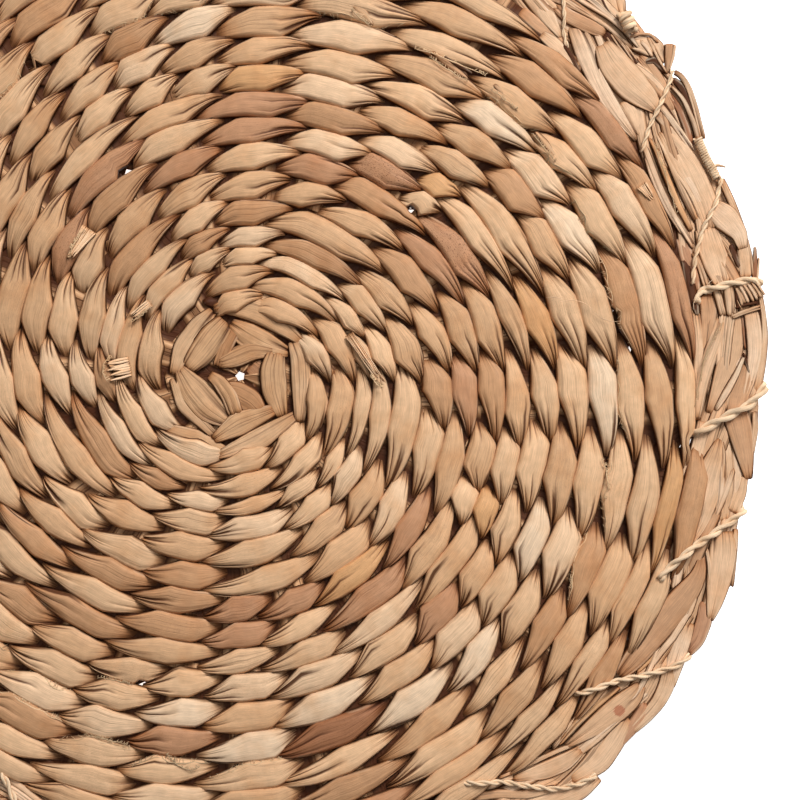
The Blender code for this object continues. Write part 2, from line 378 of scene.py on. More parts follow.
print("layers:", ", ".join(layer.__name__ for layer in (dried_colour, round_stain, edged, painted_shade_layer)))

# %% The leaf finish
# waves for each mm along, across and out of a strip
RIB_STRETCH = (0.04, 1.1, 1.0)
FIBRE_STRETCH = (0.22, 5.0, 1.0)
PLEAT_STRETCH = (0.025, 1.6, 1.0)
GLOSS = 0.16
GLOSS_SWING = 0.08
RELIEF_STRENGTH = 0.6


# outlined sets the painted shadow line along the edges, bright the pale edges, partly pith and partly
# painted highlight
def leaf_finish(name, streak=0.06, relief=0.22, roughness=0.55, outlined=0.8, bright=0.25, stain=None):
    """Dried leaf whose relief is given in mm, with a round stain at a place in mm if one is given."""
    leaf = Finish(name)
    grain = leaf.attribute("grain", "Vector")
    room = leaf.nodes.new("ShaderNodeTexCoord").outputs["Object"]
    ribs = leaf.noise(grain, RIB_STRETCH, detail=3.0)
    fibres = leaf.noise(grain, FIBRE_STRETCH, detail=3.0)
    pleats = leaf.noise(grain, PLEAT_STRETCH)
    # thin pleat lines, painted dark as the shade of the pleats in the colour and sunk in the relief
    pleated = leaf.times(leaf.between(pleats, 0.56, 0.62), leaf.attribute("gather"))
    colour = dried_colour(leaf, grain, room, ribs, fibres, streak)
    if stain is not None:
        colour = round_stain(leaf, colour, room, fibres, stain)
    colour = leaf.mix(leaf.attribute("pith"), colour, PITH_COLOUR)
    colour = painted_shade_layer(leaf, edged(leaf, colour, grain, bright, outlined), pleated)
    leaf.join(colour, leaf.shader.inputs["Base Color"])
    rough = leaf.swing(ribs, roughness - GLOSS_SWING, roughness + GLOSS_SWING)
    leaf.join(rough, leaf.shader.inputs["Roughness"])
    leaf.shader.inputs["Specular IOR Level"].default_value = GLOSS
    texture = leaf.maths("ADD", leaf.times(ribs, 0.25), leaf.times(fibres, 0.4))
    leaf.relief(leaf.maths("SUBTRACT", texture, pleated), relief * MM, RELIEF_STRENGTH)
    return leaf.material


STAIN_PLACE = (620.0, 712.0)
LEAF_FINISH = leaf_finish("dried_leaf")
STAINED_FINISH = leaf_finish("stained_leaf", outlined=0.85, bright=0.4, stain=from_picture(*STAIN_PLACE))
print("finishes:", LEAF_FINISH.name, STAINED_FINISH.name)

# %% [markdown]
# ## One strip, modelled once
# Every strip is a closed shell, long and flat. It starts as a capped cylinder whose sides are cut
# into rows, and each copy is then laid along its own route: the points on the upper side follow the
# leaf's face, and the few below close the shell.

# %% The master strip
UNDER_COLUMNS = 3
Master = namedtuple("Master", "rows columns top row column corners starts sizes")


def values_of(items, field, kind, width=1):
    """One property of all the points, corners or faces of a mesh."""
    values = np.empty(width * len(items), dtype=kind)
    items.foreach_get(field, values)
    return values


def model_tube(rows, columns):
    """A capped cylinder whose sides are cut into rows."""
    bpy.ops.object.select_all(action="DESELECT")
    bpy.ops.mesh.primitive_cylinder_add(vertices=columns, radius=1.0, depth=2.0, end_fill_type="TRIFAN")
    tube = bpy.context.object
    bpy.ops.object.mode_set(mode="EDIT")
    bpy.ops.mesh.select_all(action="DESELECT")
    bpy.ops.object.mode_set(mode="OBJECT")
    bpy.context.tool_settings.mesh_select_mode = (False, True, False)
    points = tube.data.vertices
    for edge in tube.data.edges:
        low, high = (points[index].co for index in edge.vertices)
        edge.select = abs(low.z - high.z) > 1.0
    bpy.ops.object.mode_set(mode="EDIT")
    bpy.ops.mesh.subdivide(number_cuts=rows - 2)
    bpy.ops.object.mode_set(mode="OBJECT")
    return tube


def model_master(rows, columns):
    """The pattern that every copy follows: the row and column of each point, and how faces join them."""
    tube = model_tube(rows, columns)
    mesh = tube.data
    x, y, z = values_of(mesh.vertices, "co", float, 3).reshape(-1, 3).T
    row = np.rint((z + 1.0) / 2.0 * (rows - 1)).astype(int)
    column = np.rint(np.arctan2(y, x) / math.tau * columns).astype(int) % columns
    column[np.hypot(x, y) < 0.5] = -1
    corners = values_of(mesh.loops, "vertex_index", np.int32)
    starts = values_of(mesh.polygons, "loop_start", np.int32)
    sizes = values_of(mesh.polygons, "loop_total", np.int32)
    bpy.data.objects.remove(tube)
    return Master(rows, columns, columns - UNDER_COLUMNS, row, column, corners, starts, sizes)


FACE_MASTER = model_master(22, 22)
BACK_MASTER = model_master(12, 12)
for master in (FACE_MASTER, BACK_MASTER):
    print("rows:", master.rows, "columns:", master.columns, "triangles:", (master.sizes - 2).sum())

# %% A bundle of copies
# the margin in mm of points that are nowhere near an edge
FAR_INSIDE = 9.0
FIELDS = {
    "tint": ("FLOAT_COLOR", "color"),
    "grain": ("FLOAT_VECTOR", "vector"),
    # the crease value is painted shade, at tucked ends, along edges, on undersides and low in the weave, and
    # fold paints shade into folds
    **dict.fromkeys(("crease", "fold", "spots", "pith", "gather", "margin"), ("FLOAT", "value")),
}


class Bundle:
    """Many copies of master strips, gathered to be one piece."""

    def __init__(self, name):
        self.name = name
        self.places, self.corners, self.starts, self.sizes = [], [], [], []
        self.values = {name: [] for name in FIELDS}
        self.points = self.loops = 0

    def lay(self, master, places, grain, crease, tint, toast_and_shade=0.0, **others):
        """Adds a copy by its points in mm, in rows and columns. Its toast browns its tint, partly as the
        leaf's own browning and partly as painted shade; its crease is painted shade.

        The other values are numbers or also have rows and columns: fold, spots, pith, gather, margin.
        """

        def spread(values):
            ends = values.mean(axis=1)
            inside = values[master.row, master.column]
            return np.where((master.column < 0)[:, None], ends[master.row], inside)

        def spread_number(value):
            return spread(np.broadcast_to(value, crease.shape)[..., None])

        self.places.append(spread(places))
        self.values["grain"].append(spread(grain))
        usual = {"fold": 0.0, "spots": 0.0, "pith": 0.0, "gather": 0.0, "margin": FAR_INSIDE}
        for name, value in {**usual, **others, "crease": crease}.items():
            self.values[name].append(spread_number(value))
        shade = 1.0 - spread_number(toast_and_shade) * (1.0 - TOAST_AND_SHADE)
        self.values["tint"].append(np.concatenate([tint * shade, np.ones((len(shade), 1))], axis=1))
        self.corners.append(master.corners + self.points)
        self.starts.append(master.starts + self.loops)
        self.sizes.append(master.sizes)
        self.points += len(master.row)
        self.loops += len(master.corners)

    def finish(self, material, slot, node=None):
        """Joins the copies into one mesh that rides with the trivet."""
        mesh = bpy.data.meshes.new(self.name)
        mesh.vertices.add(self.points)
        mesh.vertices.foreach_set("co", (np.concatenate(self.places) * MM).ravel())
        mesh.loops.add(self.loops)
        mesh.loops.foreach_set("vertex_index", np.concatenate(self.corners))
        starts = np.concatenate(self.starts)
        mesh.polygons.add(len(starts))
        mesh.polygons.foreach_set("loop_start", starts)
        mesh.update(calc_edges=True)
        mesh.polygons.foreach_set("use_smooth", np.ones(len(starts), dtype=bool))
        for name, (kind, field) in FIELDS.items():
            layer = mesh.attributes.new(name, kind, "POINT")
            layer.data.foreach_set(field, np.concatenate(self.values[name]).astype(np.float32).ravel())
        piece = bpy.data.objects.new(self.name, mesh)
        bpy.context.scene.collection.objects.link(piece)
        mesh.materials.append(material)
        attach(piece, "root")
        if node:
            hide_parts(node)
        triangles = int((np.concatenate(self.sizes) - 2).sum())
        print(self.name, "strips:", len(self.places), "triangles:", triangles)


print("values at each point:", ", ".join(FIELDS))

# %% [markdown]
# ## A leaf is never flat
# A dried leaf rolls down at both edges, folds along its fibres and browns where it is gathered, a
# brown that is partly painted shade, and its folds and tucked ends get painted shade. A modifier could
# bend a flat strip, but hundreds of them differ in route, width and folds, so their points are worked
# out in rows along the route and columns across it.

# %% The surface of a strip
# the last columns on top and the reach of the ones below, in half widths of the strip
SHARP_EDGE = 0.95
UNDER_REACH = 0.62
# in mm: half a stitch's width as its fibres run, the least width that a strip's margins are worked
# out for, and the length of a whole leaf
LEAF_HALF_WIDTH = 5.0
NARROW_WIDTH = 2.2
LEAF_LENGTH = 500.0


def across(columns):
    """Places across the strip, from its outer edge over the top to its inner edge and back below."""
    top = np.linspace(SHARP_EDGE, -SHARP_EDGE, columns - UNDER_COLUMNS - 2)
    return np.concatenate([[1.0], top, [-1.0], np.linspace(-UNDER_REACH, UNDER_REACH, UNDER_COLUMNS)])


def soften(values, times=1):
    """Rounds the corners of a row of numbers a little."""
    for _ in range(times):
        padded = np.concatenate([values[:1], values, values[-1:]])
        values = 0.25 * padded[:-2] + 0.5 * padded[1:-1] + 0.25 * padded[2:]
    return values


def ramp(value, low, high):
    """0 at the low value and beyond it, 1 at the high one and beyond, and an even slope between."""
    return np.clip((value - low) / (high - low), 0.0, 1.0)


def margins(master, width):
    """How far each row and column is from the edge of its strip in mm, as if no strip were narrow."""
    away = (1.0 - np.abs(across(master.columns)))[None, :] * width[:, None] / 2.0
    away *= max(1.0, NARROW_WIDTH / width.max())
    away[:, master.top :] = 0.0
    return away


def browned_and_shaded(master, along, strength):
    """How brown each row and column is, partly the leaf's own browning and partly painted shade: more
    towards the ends and the edges of a strip, where it tucks under and rolls down.
    """
    ends = ramp(np.abs(along), 0.45, 0.95) ** 1.5
    edges = np.abs(across(master.columns)) ** 3
    return np.clip(strength * (0.68 * ends[:, None] + 0.3 * edges[None, :]), 0.0, 1.0)


def fibre_run(forwards, sideways, dice):
    """Where each row and column lies in its leaf, in mm, so that no two strips show the same fibres."""
    grain = np.zeros((len(forwards), sideways.shape[-1], 3))
    grain[..., 0] = forwards[:, None] + dice.uniform(0.0, LEAF_LENGTH)
    grain[..., 1] = sideways + dice.uniform(0.0, LEAF_LENGTH)
    return grain


print("columns across a strip on the face:", FACE_MASTER.columns, "of them on top:", FACE_MASTER.top)

# %% Folds and the shell of a strip
Fold = namedtuple("Fold", "column depth start end")
# the share of a fold's depth that the columns beside it have
FOLD_SPILL = 0.12
# depth in mm at which a fold's painted shade is darkest
FULL_FOLD = 0.75
# the painted shade of the columns beside an edge
BESIDE_EDGE_DARK = 0.25
ROLL_POWER = 5
UNDER_DROP = 0.8


def fold_depths(master, along, folds):
    """How deep the folds are at each row and column. A fold deepens from start towards end."""
    depth = np.zeros((master.rows, master.columns))
    for fold in folds:
        strength = fold.depth * ramp(along, fold.start, fold.end) ** 0.6
        depth[:, fold.column] = np.maximum(depth[:, fold.column], strength)
        for side in (-1, 1):
            if 0 < fold.column + side < master.top - 1:
                near = depth[:, fold.column + side]
                depth[:, fold.column + side] = np.maximum(near, FOLD_SPILL * strength)
    return depth


def shell(master, route, side, up, inner, outer, drop, thickness, along, folds=(), roll=0.0):
    """The points of one strip, with its painted shade and its folds.

    route, side and up are points and directions by row, inner and outer how far the strip reaches
    to each side in mm, and drop how far its edges roll down.
    """
    places = across(master.columns)[None, :]
    reach = 0.5 * (outer + inner)[:, None] + 0.5 * (outer - inner)[:, None] * places
    depth = fold_depths(master, along, folds)
    lift = -drop[:, None] * np.abs(places) ** ROLL_POWER + roll * places - depth
    lift[:, master.top :] = (-UNDER_DROP * drop - thickness)[:, None] - 0.5 * depth.max(axis=1)[:, None]
    points = route[:, None, :] + reach[..., None] * side[:, None, :] + lift[..., None] * up[:, None, :]
    # painted shade along both edges and over the underside
    dark = np.zeros_like(depth)
    dark[:, [1, master.top - 2]] = BESIDE_EDGE_DARK
    dark[:, 0] = 1.0
    dark[:, master.top - 1 :] = 1.0
    return points, dark, np.clip(depth / FULL_FOLD, 0.0, 1.0)


print("a fold counts as full at", FULL_FOLD, "mm")

# %% [markdown]
# ## Where each stitch of the weave goes
# The weave is one long spiral. Its turns are not quite even, and it takes in more spokes as it
# grows, so the map is two short tables: the radius of each turn where it crosses the right, and the
# angles between the spokes for each band of turns.

# %% The map of the weave
# radius in picture points of each turn of the spiral, where it crosses the right
TURN_RADII = (
    9, 24, 47, 69, 92, 117, 134, 157, 185, 214, 240, 267, 292, 320, 349, 380, 408, 438, 459, 482, 505,
)
WEAVE_TURNS = len(TURN_RADII) - 3
# angles between the spokes, from one radius to another
Band = namedtuple("Band", "inside outside angles")
MAIN_GAPS = (13, 33, 51, 70, 97, 115, 134, 151, 170, 190, 210, 226, 246, 264, 283, 299, 320, 340, 357)
BANDS = (
    Band(0, 47, (45, 108, 190, 254, 330)),
    Band(47, 70, (38, 100, 146, 190, 252, 330)),
    Band(70, 116, (0, 40, 71, 106, 144, 178, 217, 252, 284, 328)),
    Band(116, 186, (0, 34, 53, 72, 99, 120, 140, 171, 190, 216, 246, 264, 285, 321, 341)),
    Band(186, 214, MAIN_GAPS),
    Band(214, 241, sorted((*MAIN_GAPS, 84))),
    Band(241, 296, sorted((*MAIN_GAPS, 84, 25, 313))),
    Band(296, 999, (
        10.5, 24, 35, 45, 55.5, 68.5, 83, 95, 106, 117, 129, 141, 153, 165, 177, 189, 201, 213, 225, 237,
        248, 257.5, 268, 281, 296, 310, 321.5, 331.5, 342.5, 357,
    )),
)


def total_angle(turn, angle):
    """The angle turned through since the middle, after so many turns and a part of one."""
    return FULL_TURN * turn + angle


# strands nearer to one another than this, in degrees, pass the same gap
CLOSEST_STITCHES = 6.5
# where the last turn, a short one, starts and ends in degrees, and the hidden stretch before it
LAST_SHORT_TURN = (12.0, 72.0)
UNDER_RIM = (total_angle(WEAVE_TURNS - 1, 290.0), total_angle(WEAVE_TURNS, LAST_SHORT_TURN[0]))
# one stitch lies over two spokes, and the leaves of the first turns are laid one by one
LEFT_OUT = total_angle(11, 331.5)
MIDDLE_END = total_angle(2, 235.0)


def turn_radius(angle):
    """Radius of the spiral's inner edge after turning through an angle, in picture points."""
    return np.interp(np.asarray(angle) / FULL_TURN, np.arange(len(TURN_RADII)), TURN_RADII)


def turn_middle(angle):
    """Radius halfway between the inner and the outer edge of a turn."""
    return 0.5 * (turn_radius(angle) + turn_radius(angle + FULL_TURN))


def stitch_ends():
    """Total angles at which the spiral's strands pass between two spokes."""
    ends = []
    for turn in range(WEAVE_TURNS + 1):
        for band in BANDS:
            totals = [total_angle(turn, angle) for angle in band.angles]
            ends += [total for total in totals if band.inside <= turn_middle(total) < band.outside]
    weave_end = total_angle(WEAVE_TURNS, LAST_SHORT_TURN[1])
    kept = []
    for end in sorted(end for end in ends if MIDDLE_END < end < weave_end and end != LEFT_OUT):
        if not kept or end - kept[-1] > CLOSEST_STITCHES:
            kept.append(end)
    return kept


ENDS = stitch_ends()
print("stitches on the face:", len(ENDS) - 1)

# %% [markdown]
# ## The stitches
# A strand comes up between two spokes, lies over one spoke on the face and goes down again, rising
# across its turn from the inner edge to the outer one. Squeezed at both ends and free in between, a
# flat leaf takes the outline of a kite, with its folds gathered towards the ends.

# %% Shape of a stitch
# along, then reach towards the inner and the outer edge, in half widths of the turn
INNER_EDGE = ((-1.0, -1.0), (-0.8, -1.08), (0.22, -1.15), (0.97, 0.4), (1.1, 0.6))
OUTER_EDGE = ((-1.0, -0.55), (-0.3, 0.98), (0.5, 1.16), (0.97, 1.04), (1.1, 0.95))
# along, then height of the face in mm
HEIGHTS = (
    (-1.0, 3.0), (-0.85, 4.6), (-0.6, 6.3), (-0.3, 7.5), (0.1, 8.0), (0.6, 7.9), (0.85, 7.3), (0.97, 6.2),
    (1.1, 3.4),
)
LAST_ROW = 1.1
# height of the middle of the weave in mm, and how ragged an edge is in half widths of the turn
MIDDLE_HEIGHT = 4.0
RAGGED = 0.018


def through(table, along, shift=0.0):
    """Reads a table of pairs, with its inner corners shifted along the strip."""
    place, value = (np.array(column, dtype=float) for column in zip(*table))
    return np.interp(along, place + shift, value)


def stitch_edges(along, dice):
    """Reach of a stitch to its inner and its outer edge. Its corners and its width vary."""
    inner_shift = (0.0, 0.0, dice.uniform(-0.2, 0.25), 0.0, 0.0)
    outer_shift = (0.0, dice.uniform(-0.15, 0.3), dice.uniform(-0.3, 0.1), 0.0, 0.0)
    inner = through(INNER_EDGE, along, inner_shift) * dice.uniform(0.94, 1.09)
    outer = through(OUTER_EDGE, along, outer_shift) * dice.uniform(0.94, 1.09)
    ragged = dice.normal(0.0, RAGGED, (2, len(along)))
    return inner + soften(ragged[0]), outer + soften(ragged[1])


def stitch_height(along, dice):
    """Height of a stitch on the face, by row, in mm."""
    height = soften(through(HEIGHTS, along, dice.uniform(-0.05, 0.05)), 2)
    return MIDDLE_HEIGHT + (height - MIDDLE_HEIGHT) * dice.uniform(0.9, 1.0)


def stitch_folds(dice, master, face):
    """A few folds that gather towards each end."""
    folds = []
    for _ in range(dice.integers(2, 6 if face else 3)):
        column = int(dice.integers(2, master.top - 2))
        folds.append(Fold(column, dice.uniform(0.6, 1.3), dice.uniform(-0.1, 0.6), 1.0))
    for _ in range(dice.integers(1, 5 if face else 2)):
        column = int(dice.integers(2, master.top - 2))
        folds.append(Fold(column, dice.uniform(0.5, 1.0), -dice.uniform(0.1, 0.6), -1.0))
    return folds


print("a stitch rises to", max(height for _, height in HEIGHTS), "mm")

# %% Openings between two turns
# half the length of an opening in degrees, and half its width in picture points
Opening = namedtuple("Opening", "angle radius length width")
OPENINGS = (
    Opening(241.0, 236.0, 1.5, 2.8),
    Opening(316.1, 240.0, 1.0, 2.4),
    Opening(236.3, 377.0, 0.5, 1.4),
    Opening(107.8, 323.0, 0.4, 0.8),
    Opening(8.3, 458.0, 0.5, 1.2),
    Opening(350.5, 383.0, 0.5, 0.9),
)
# the edges give way over so many lengths of the opening
OPENING_REACH = 1.6


def keep_open(angle, inner_radius, outer_radius):
    """Moves the edges of a strip away from the openings of the weave."""
    for opening in OPENINGS:
        past = apart(angle, opening.angle)
        reach = OPENING_REACH * opening.length
        push = opening.width * np.clip(1.5 - 1.5 * (past / reach) ** 2, 0.0, 1.0)
        ring = 0.5 * (inner_radius + outer_radius)
        inside = (np.abs(past) < reach) & (ring < opening.radius)
        outside = (np.abs(past) < reach) & (ring >= opening.radius)
        outer_radius = np.where(inside, np.minimum(outer_radius, opening.radius - push), outer_radius)
        inner_radius = np.where(outside, np.maximum(inner_radius, opening.radius + push), inner_radius)
    return inner_radius, outer_radius


def clear_edges(angle, middle, half, inner, outer, face):
    """Reach of a stitch to both edges, clear of the openings. On the back its sides are swapped."""
    if face:
        edges = keep_open(angle, middle + inner * half, middle + outer * half)
        return [(edge - middle) / half for edge in edges]
    edges = keep_open(angle, middle - outer * half, middle - inner * half)
    return [(middle - edge) / half for edge in edges[::-1]]


print("openings:", len(OPENINGS))

# %% Lay one stitch
# in gaps between two spokes
START_LAP = 0.26
END_LAP = 0.07
# in mm
LEAF_THICKNESS = 0.5
EDGE_DROP = 2.2
# the width, in half widths of the turn, at which the edges roll down in full
FULL_WIDTH = 1.9
# in mm: how near to the middle of the weave a stitch starts to darken with painted shade, and over what
# depth it does
BURIED_BELOW = 2.0
BURIED_FADE = 1.6
FRAYED_COLUMNS = 5
frayed_edges = []


def stitch_painted_shade(along, crease, points):
    """The painted shade of a stitch: most at its gathered ends, where it tucks under, and where it lies deep
    in the weave.
    """
    ends = np.where(along < 0.0, ramp(along, -0.72, -0.98), ramp(along, 0.82, 1.04))
    crease = np.clip(0.85 * crease + 0.75 * ends[:, None] ** 1.4, 0.0, 0.97)
    out = np.abs(points[..., 2] - MIDDLE_HEIGHT)
    return np.maximum(crease, 0.8 * ramp(out, BURIED_BELOW, BURIED_BELOW - BURIED_FADE))


def lay_stitch(bundle, master, start, end, tint, dice, face=True, spots=0.0, torn_pith=0.0):
    """Lays one stitch over the spoke between two gaps, on the face or, turned over, on the back."""
    along = np.linspace(-1.0, LAST_ROW, master.rows)
    low, high = start - START_LAP * (end - start), end + END_LAP * (end - start)
    angle = low + (along + 1.0) / 2.0 * (high - low)
    middle, half = turn_middle(angle), 0.5 * (turn_radius(angle + FULL_TURN) - turn_radius(angle))
    inner, outer = stitch_edges(along, dice)
    height = stitch_height(along, dice)
    side, up = outwards(angle), np.tile([0.0, 0.0, 1.0], (master.rows, 1))
    if not face:
        side, up, height = -side, -up, 2.0 * MIDDLE_HEIGHT - height
    drop = EDGE_DROP * np.clip((outer - inner) / FULL_WIDTH, 0.2, 1.0)
    inner, outer = clear_edges(angle, middle, half, inner, outer, face)
    inner, outer = inner * half * POINT, outer * half * POINT
    points, crease, fold = shell(
        master, around(angle, middle, height), side, up, inner, outer, drop, LEAF_THICKNESS, along,
        stitch_folds(dice, master, face), roll=dice.uniform(-0.35, 0.35),
    )
    length = math.radians(high - low) * middle.mean() * POINT
    grain = fibre_run(along * length / 2.0, across(master.columns) * LEAF_HALF_WIDTH, dice)
    pith = np.zeros_like(crease)
    if torn_pith:
        pith[:, master.top - 2 : master.top] = torn_pith * dice.uniform(0.0, 1.0, (master.rows, 2)) ** 0.6
        frayed_edges.append(points[2:-3, master.top - FRAYED_COLUMNS : master.top])
    gather = np.maximum(ramp(np.abs(along), 0.45, 0.85), dice.uniform(-0.6, 0.35))
    bundle.lay(
        master, points, grain, stitch_painted_shade(along, crease, points), tint,
        toast_and_shade=browned_and_shaded(master, along, dice.uniform(0.5, 1.2)), spots=spots, pith=pith, gather=gather[:, None],
        margin=margins(master, outer - inner), fold=fold,
    )


print("a stitch laps", START_LAP, "of a gap under the one before it and", END_LAP, "under the next")

# %% Tones of the stitches that stand out
Mark = namedtuple("Mark", "angle radius tone spots")
MARKS = (
    Mark(74, 365, "brown", 0.3), Mark(99, 370, "ruddy", 0.2), Mark(39, 229, "ruddy", 0.0),
    Mark(55, 255, "ruddy", 0.2), Mark(6, 227, "ruddy", 0.0), Mark(6, 253, "dark", 0.0),
    Mark(75, 232, "ruddy", 0.0), Mark(90, 232, "ruddy", 0.2), Mark(90, 258, "ruddy", 0.0),
    Mark(104, 235, "dark", 0.0), Mark(328, 226, "ruddy", 0.1), Mark(332, 254, "ruddy", 0.9),
    Mark(306, 254, "ruddy", 1.0), Mark(245, 249, "ruddy", 0.3), Mark(253, 227, "ruddy", 0.0),
    Mark(272, 248, "ruddy", 0.2), Mark(289, 228, "ruddy", 0.0), Mark(215, 226, "ruddy", 0.6),
    Mark(13, 460, "dark", 0.2), Mark(37, 470, "dark", 0.0), Mark(324, 450, "ruddy", 0.3),
    Mark(347, 450, "ruddy", 0.4), Mark(345, 305, "orange", 0.0), Mark(27, 337, "straw", 0.0),
    Mark(27, 368, "pale", 0.0), Mark(48, 337, "pale", 0.0), Mark(48, 368, "straw", 0.0),
    Mark(60, 366, "straw", 0.0), Mark(74, 332, "straw", 0.0), Mark(86, 368, "straw", 0.0),
    Mark(99, 342, "straw", 0.0), Mark(111, 368, "pale", 0.0), Mark(2, 365, "straw", 0.0),
    Mark(336, 373, "straw", 0.0), Mark(313, 366, "straw", 0.0), Mark(286, 362, "pale", 0.0),
    Mark(261, 362, "straw", 0.0), Mark(301.7, 383, "tan", 0.0), Mark(302.6, 358, "mid", 0.0),
)


def find_mark(start, end):
    """The mark that falls on a stitch, if one does."""
    middle = 0.5 * (start + end)
    for mark in MARKS:
        past = apart(mark.angle, middle)
        edges = turn_radius(middle + past), turn_radius(middle + past + FULL_TURN)
        if abs(past) < 0.5 * (end - start) and edges[0] <= mark.radius < edges[1]:
            return mark
    return None


def stitch_tone(dice):
    """A tone for a stitch that has no special one, with a little variation of its own."""
    names = ("straw", "pale", "tan", "mid", "dark", "orange", "ruddy")
    weights = (0.01, 0.13, 0.46, 0.28, 0.09, 0.01, 0.02)
    base = TONES[names[dice.choice(len(names), p=weights)]]
    return base * dice.uniform(0.94, 1.06)


print("stitches with a tone of their own:", len(MARKS))

# %% Lay the face and the back
FIRST_OUTER_TURN = 13
# the ring of torn leaves in picture points, the share of them that is torn and how pale they tear
TORN_RADII = (375, 412)
TORN_SHARE = 0.75
TORN_PITH = 0.8
dice = np.random.default_rng(7)
inner_face, outer_face, back = Bundle("inner_face_weave"), Bundle("outer_face_weave"), Bundle("back_weave")
for start, end in zip(ENDS[:-1], ENDS[1:]):
    if UNDER_RIM[0] < 0.5 * (start + end) < UNDER_RIM[1]:
        continue
    mark = find_mark(start, end)
    # every stitch draws a tone, and its mark takes the place of it
    tint, spots = stitch_tone(dice), 0.25 * dice.uniform() ** 2
    if mark:
        tint, spots = TONES[mark.tone] * dice.uniform(0.97, 1.03), mark.spots
    radius = turn_radius(0.5 * (start + end) + 0.5 * FULL_TURN)
    torn_pith = TORN_PITH if TORN_RADII[0] < radius < TORN_RADII[1] and dice.uniform() < TORN_SHARE else 0.0
    face = outer_face if start >= total_angle(FIRST_OUTER_TURN, 0.0) else inner_face
    lay_stitch(face, FACE_MASTER, start, end, tint, dice, spots=spots, torn_pith=torn_pith)
    lay_stitch(back, BACK_MASTER, start, end, stitch_tone(dice), dice, face=False)
for bundle in (inner_face, outer_face, back):
    bundle.finish(LEAF_FINISH, "leaf_strip", "woven_disc")

# %% [markdown]
# ## The spokes
# Each spoke is a bundle of narrow folded leaves. It lies hidden in the middle of the weave and shows
# only as small ribbed patches between the stitches, so a ribbed slab along each radius is enough.

# %% Shape of a spoke
SPOKE_RIBS = 7
# in mm
RIB_DEPTH = 0.35
SPOKE_HALF_HEIGHT = 1.0
# half a spoke's width, in gaps
SPOKE_FILL = 0.53
# in picture points: half the thick core, and how near to an opening a spoke is cut back
SPOKE_CORE = 15.0
SPOKE_CUT = 12.0


def lap_angles(columns):
    """Angles once round a tube, one for each column."""
    return np.arange(columns) / columns * math.tau


def spoke_section(half, columns):
    """Across and height of a spoke's points, thinner beside its core, and their painted shade in the rib
    troughs and on the thin sides.
    """
    lap = lap_angles(columns)
    flat, tall = np.cos(lap), np.sin(lap)
    rib = RIB_DEPTH * np.abs(np.sin(flat * math.pi * SPOKE_RIBS))
    core = np.clip(SPOKE_CORE * POINT / half.max(), 0.3, 0.8)
    thin = ramp(np.abs(flat), core, core + 0.12)
    thick = SPOKE_HALF_HEIGHT * np.sign(tall) * np.abs(tall) ** 0.35 * (0.8 + rib) * (1.0 - 0.75 * thin)
    # painted shade: a little everywhere, more in the troughs of the ribs, most on the thin sides between the
    # stitches
    crease = np.clip(0.06 + np.where(rib < 0.12, 0.6, 0.0) + 0.9 * thin, 0.0, 1.0)
    return flat, thick, crease


def spoke_halves(angle, gap, reach, half):
    """Half widths of a spoke to both sides, cut back beside the openings."""
    halves = [half, half]
    for opening in OPENINGS:
        past = apart(angle, opening.angle)
        room = math.radians(abs(past) - opening.length) * reach * POINT
        beside = (np.abs(reach - opening.radius) < SPOKE_CUT) & (abs(past) < 0.6 * gap)
        facing = int(past < 0.0)
        halves[facing] = np.where(beside, np.clip(room, 0.2, half), halves[facing])
    return halves


def lay_spoke(bundle, master, start, end, near, far, tint, dice):
    """A ribbed slab along the radius halfway between two gaps, from near to far."""
    reach = np.linspace(near, far, master.rows)
    angle = 0.5 * (start + end)
    half = math.tan(math.radians(SPOKE_FILL * (end - start))) * reach * POINT
    flat, thick, crease = spoke_section(half, master.columns)
    wobble = 1.0 + soften(dice.normal(0.0, 0.05, master.rows))
    left, right = (side[:, None] for side in spoke_halves(angle, end - start, reach, half))
    sideways = np.where(flat > 0.0, left, right) * wobble[:, None] * flat
    points = (
        (reach * POINT)[:, None, None] * outwards(angle)
        + sideways[..., None] * outwards(angle - 90.0)
        + (thick[:, None] + MIDDLE_HEIGHT) * np.array([0.0, 0.0, 1.0])
    )
    grain = fibre_run(reach * POINT, half[:, None] * flat, dice)
    bundle.lay(master, points, grain, np.tile(crease, (master.rows, 1)), tint, gather=1.0)


SPOKE_MASTER = model_master(14, 40)
print("triangles of a spoke:", (SPOKE_MASTER.sizes - 2).sum())

# %% Lay the spokes
# radii and the lap of one band over the next, in picture points
SPOKE_START = 4.0
SPOKE_END = 466.0
SPOKE_LAP = 4.0
spokes = Bundle("spokes")
for band in BANDS:
    near, far = max(band.inside - SPOKE_LAP, SPOKE_START), min(band.outside + SPOKE_LAP, SPOKE_END)
    angles = [*band.angles, band.angles[0] + FULL_TURN]
    for start, end in zip(angles[:-1], angles[1:]):
        lay_spoke(spokes, SPOKE_MASTER, start, end, near, far, TONES["mid"] * dice.uniform(0.9, 1.15), dice)
spokes.finish(LEAF_FINISH, "leaf_strip", "woven_disc")

# %% [markdown]
# ## A leaf along any route
# The leaves of the middle and of the rim don't follow the spiral. Each of them is laid along a route
# of its own, read off the picture, and its line in a table gives its width, its level and its tone.

# %% A leaf along any route
# thickness in mm
LEAF_SKIN = 0.4
# out of 1: the least painted shade of the edges, and how much more painted shade the tucked ends get
EDGE_DARK = 0.5
TIP_DARK = 0.5


def steps_along(route):
    """How far each point of a route is from the one before it."""
    return np.linalg.norm(np.diff(route, axis=0, prepend=route[:1]), axis=1)


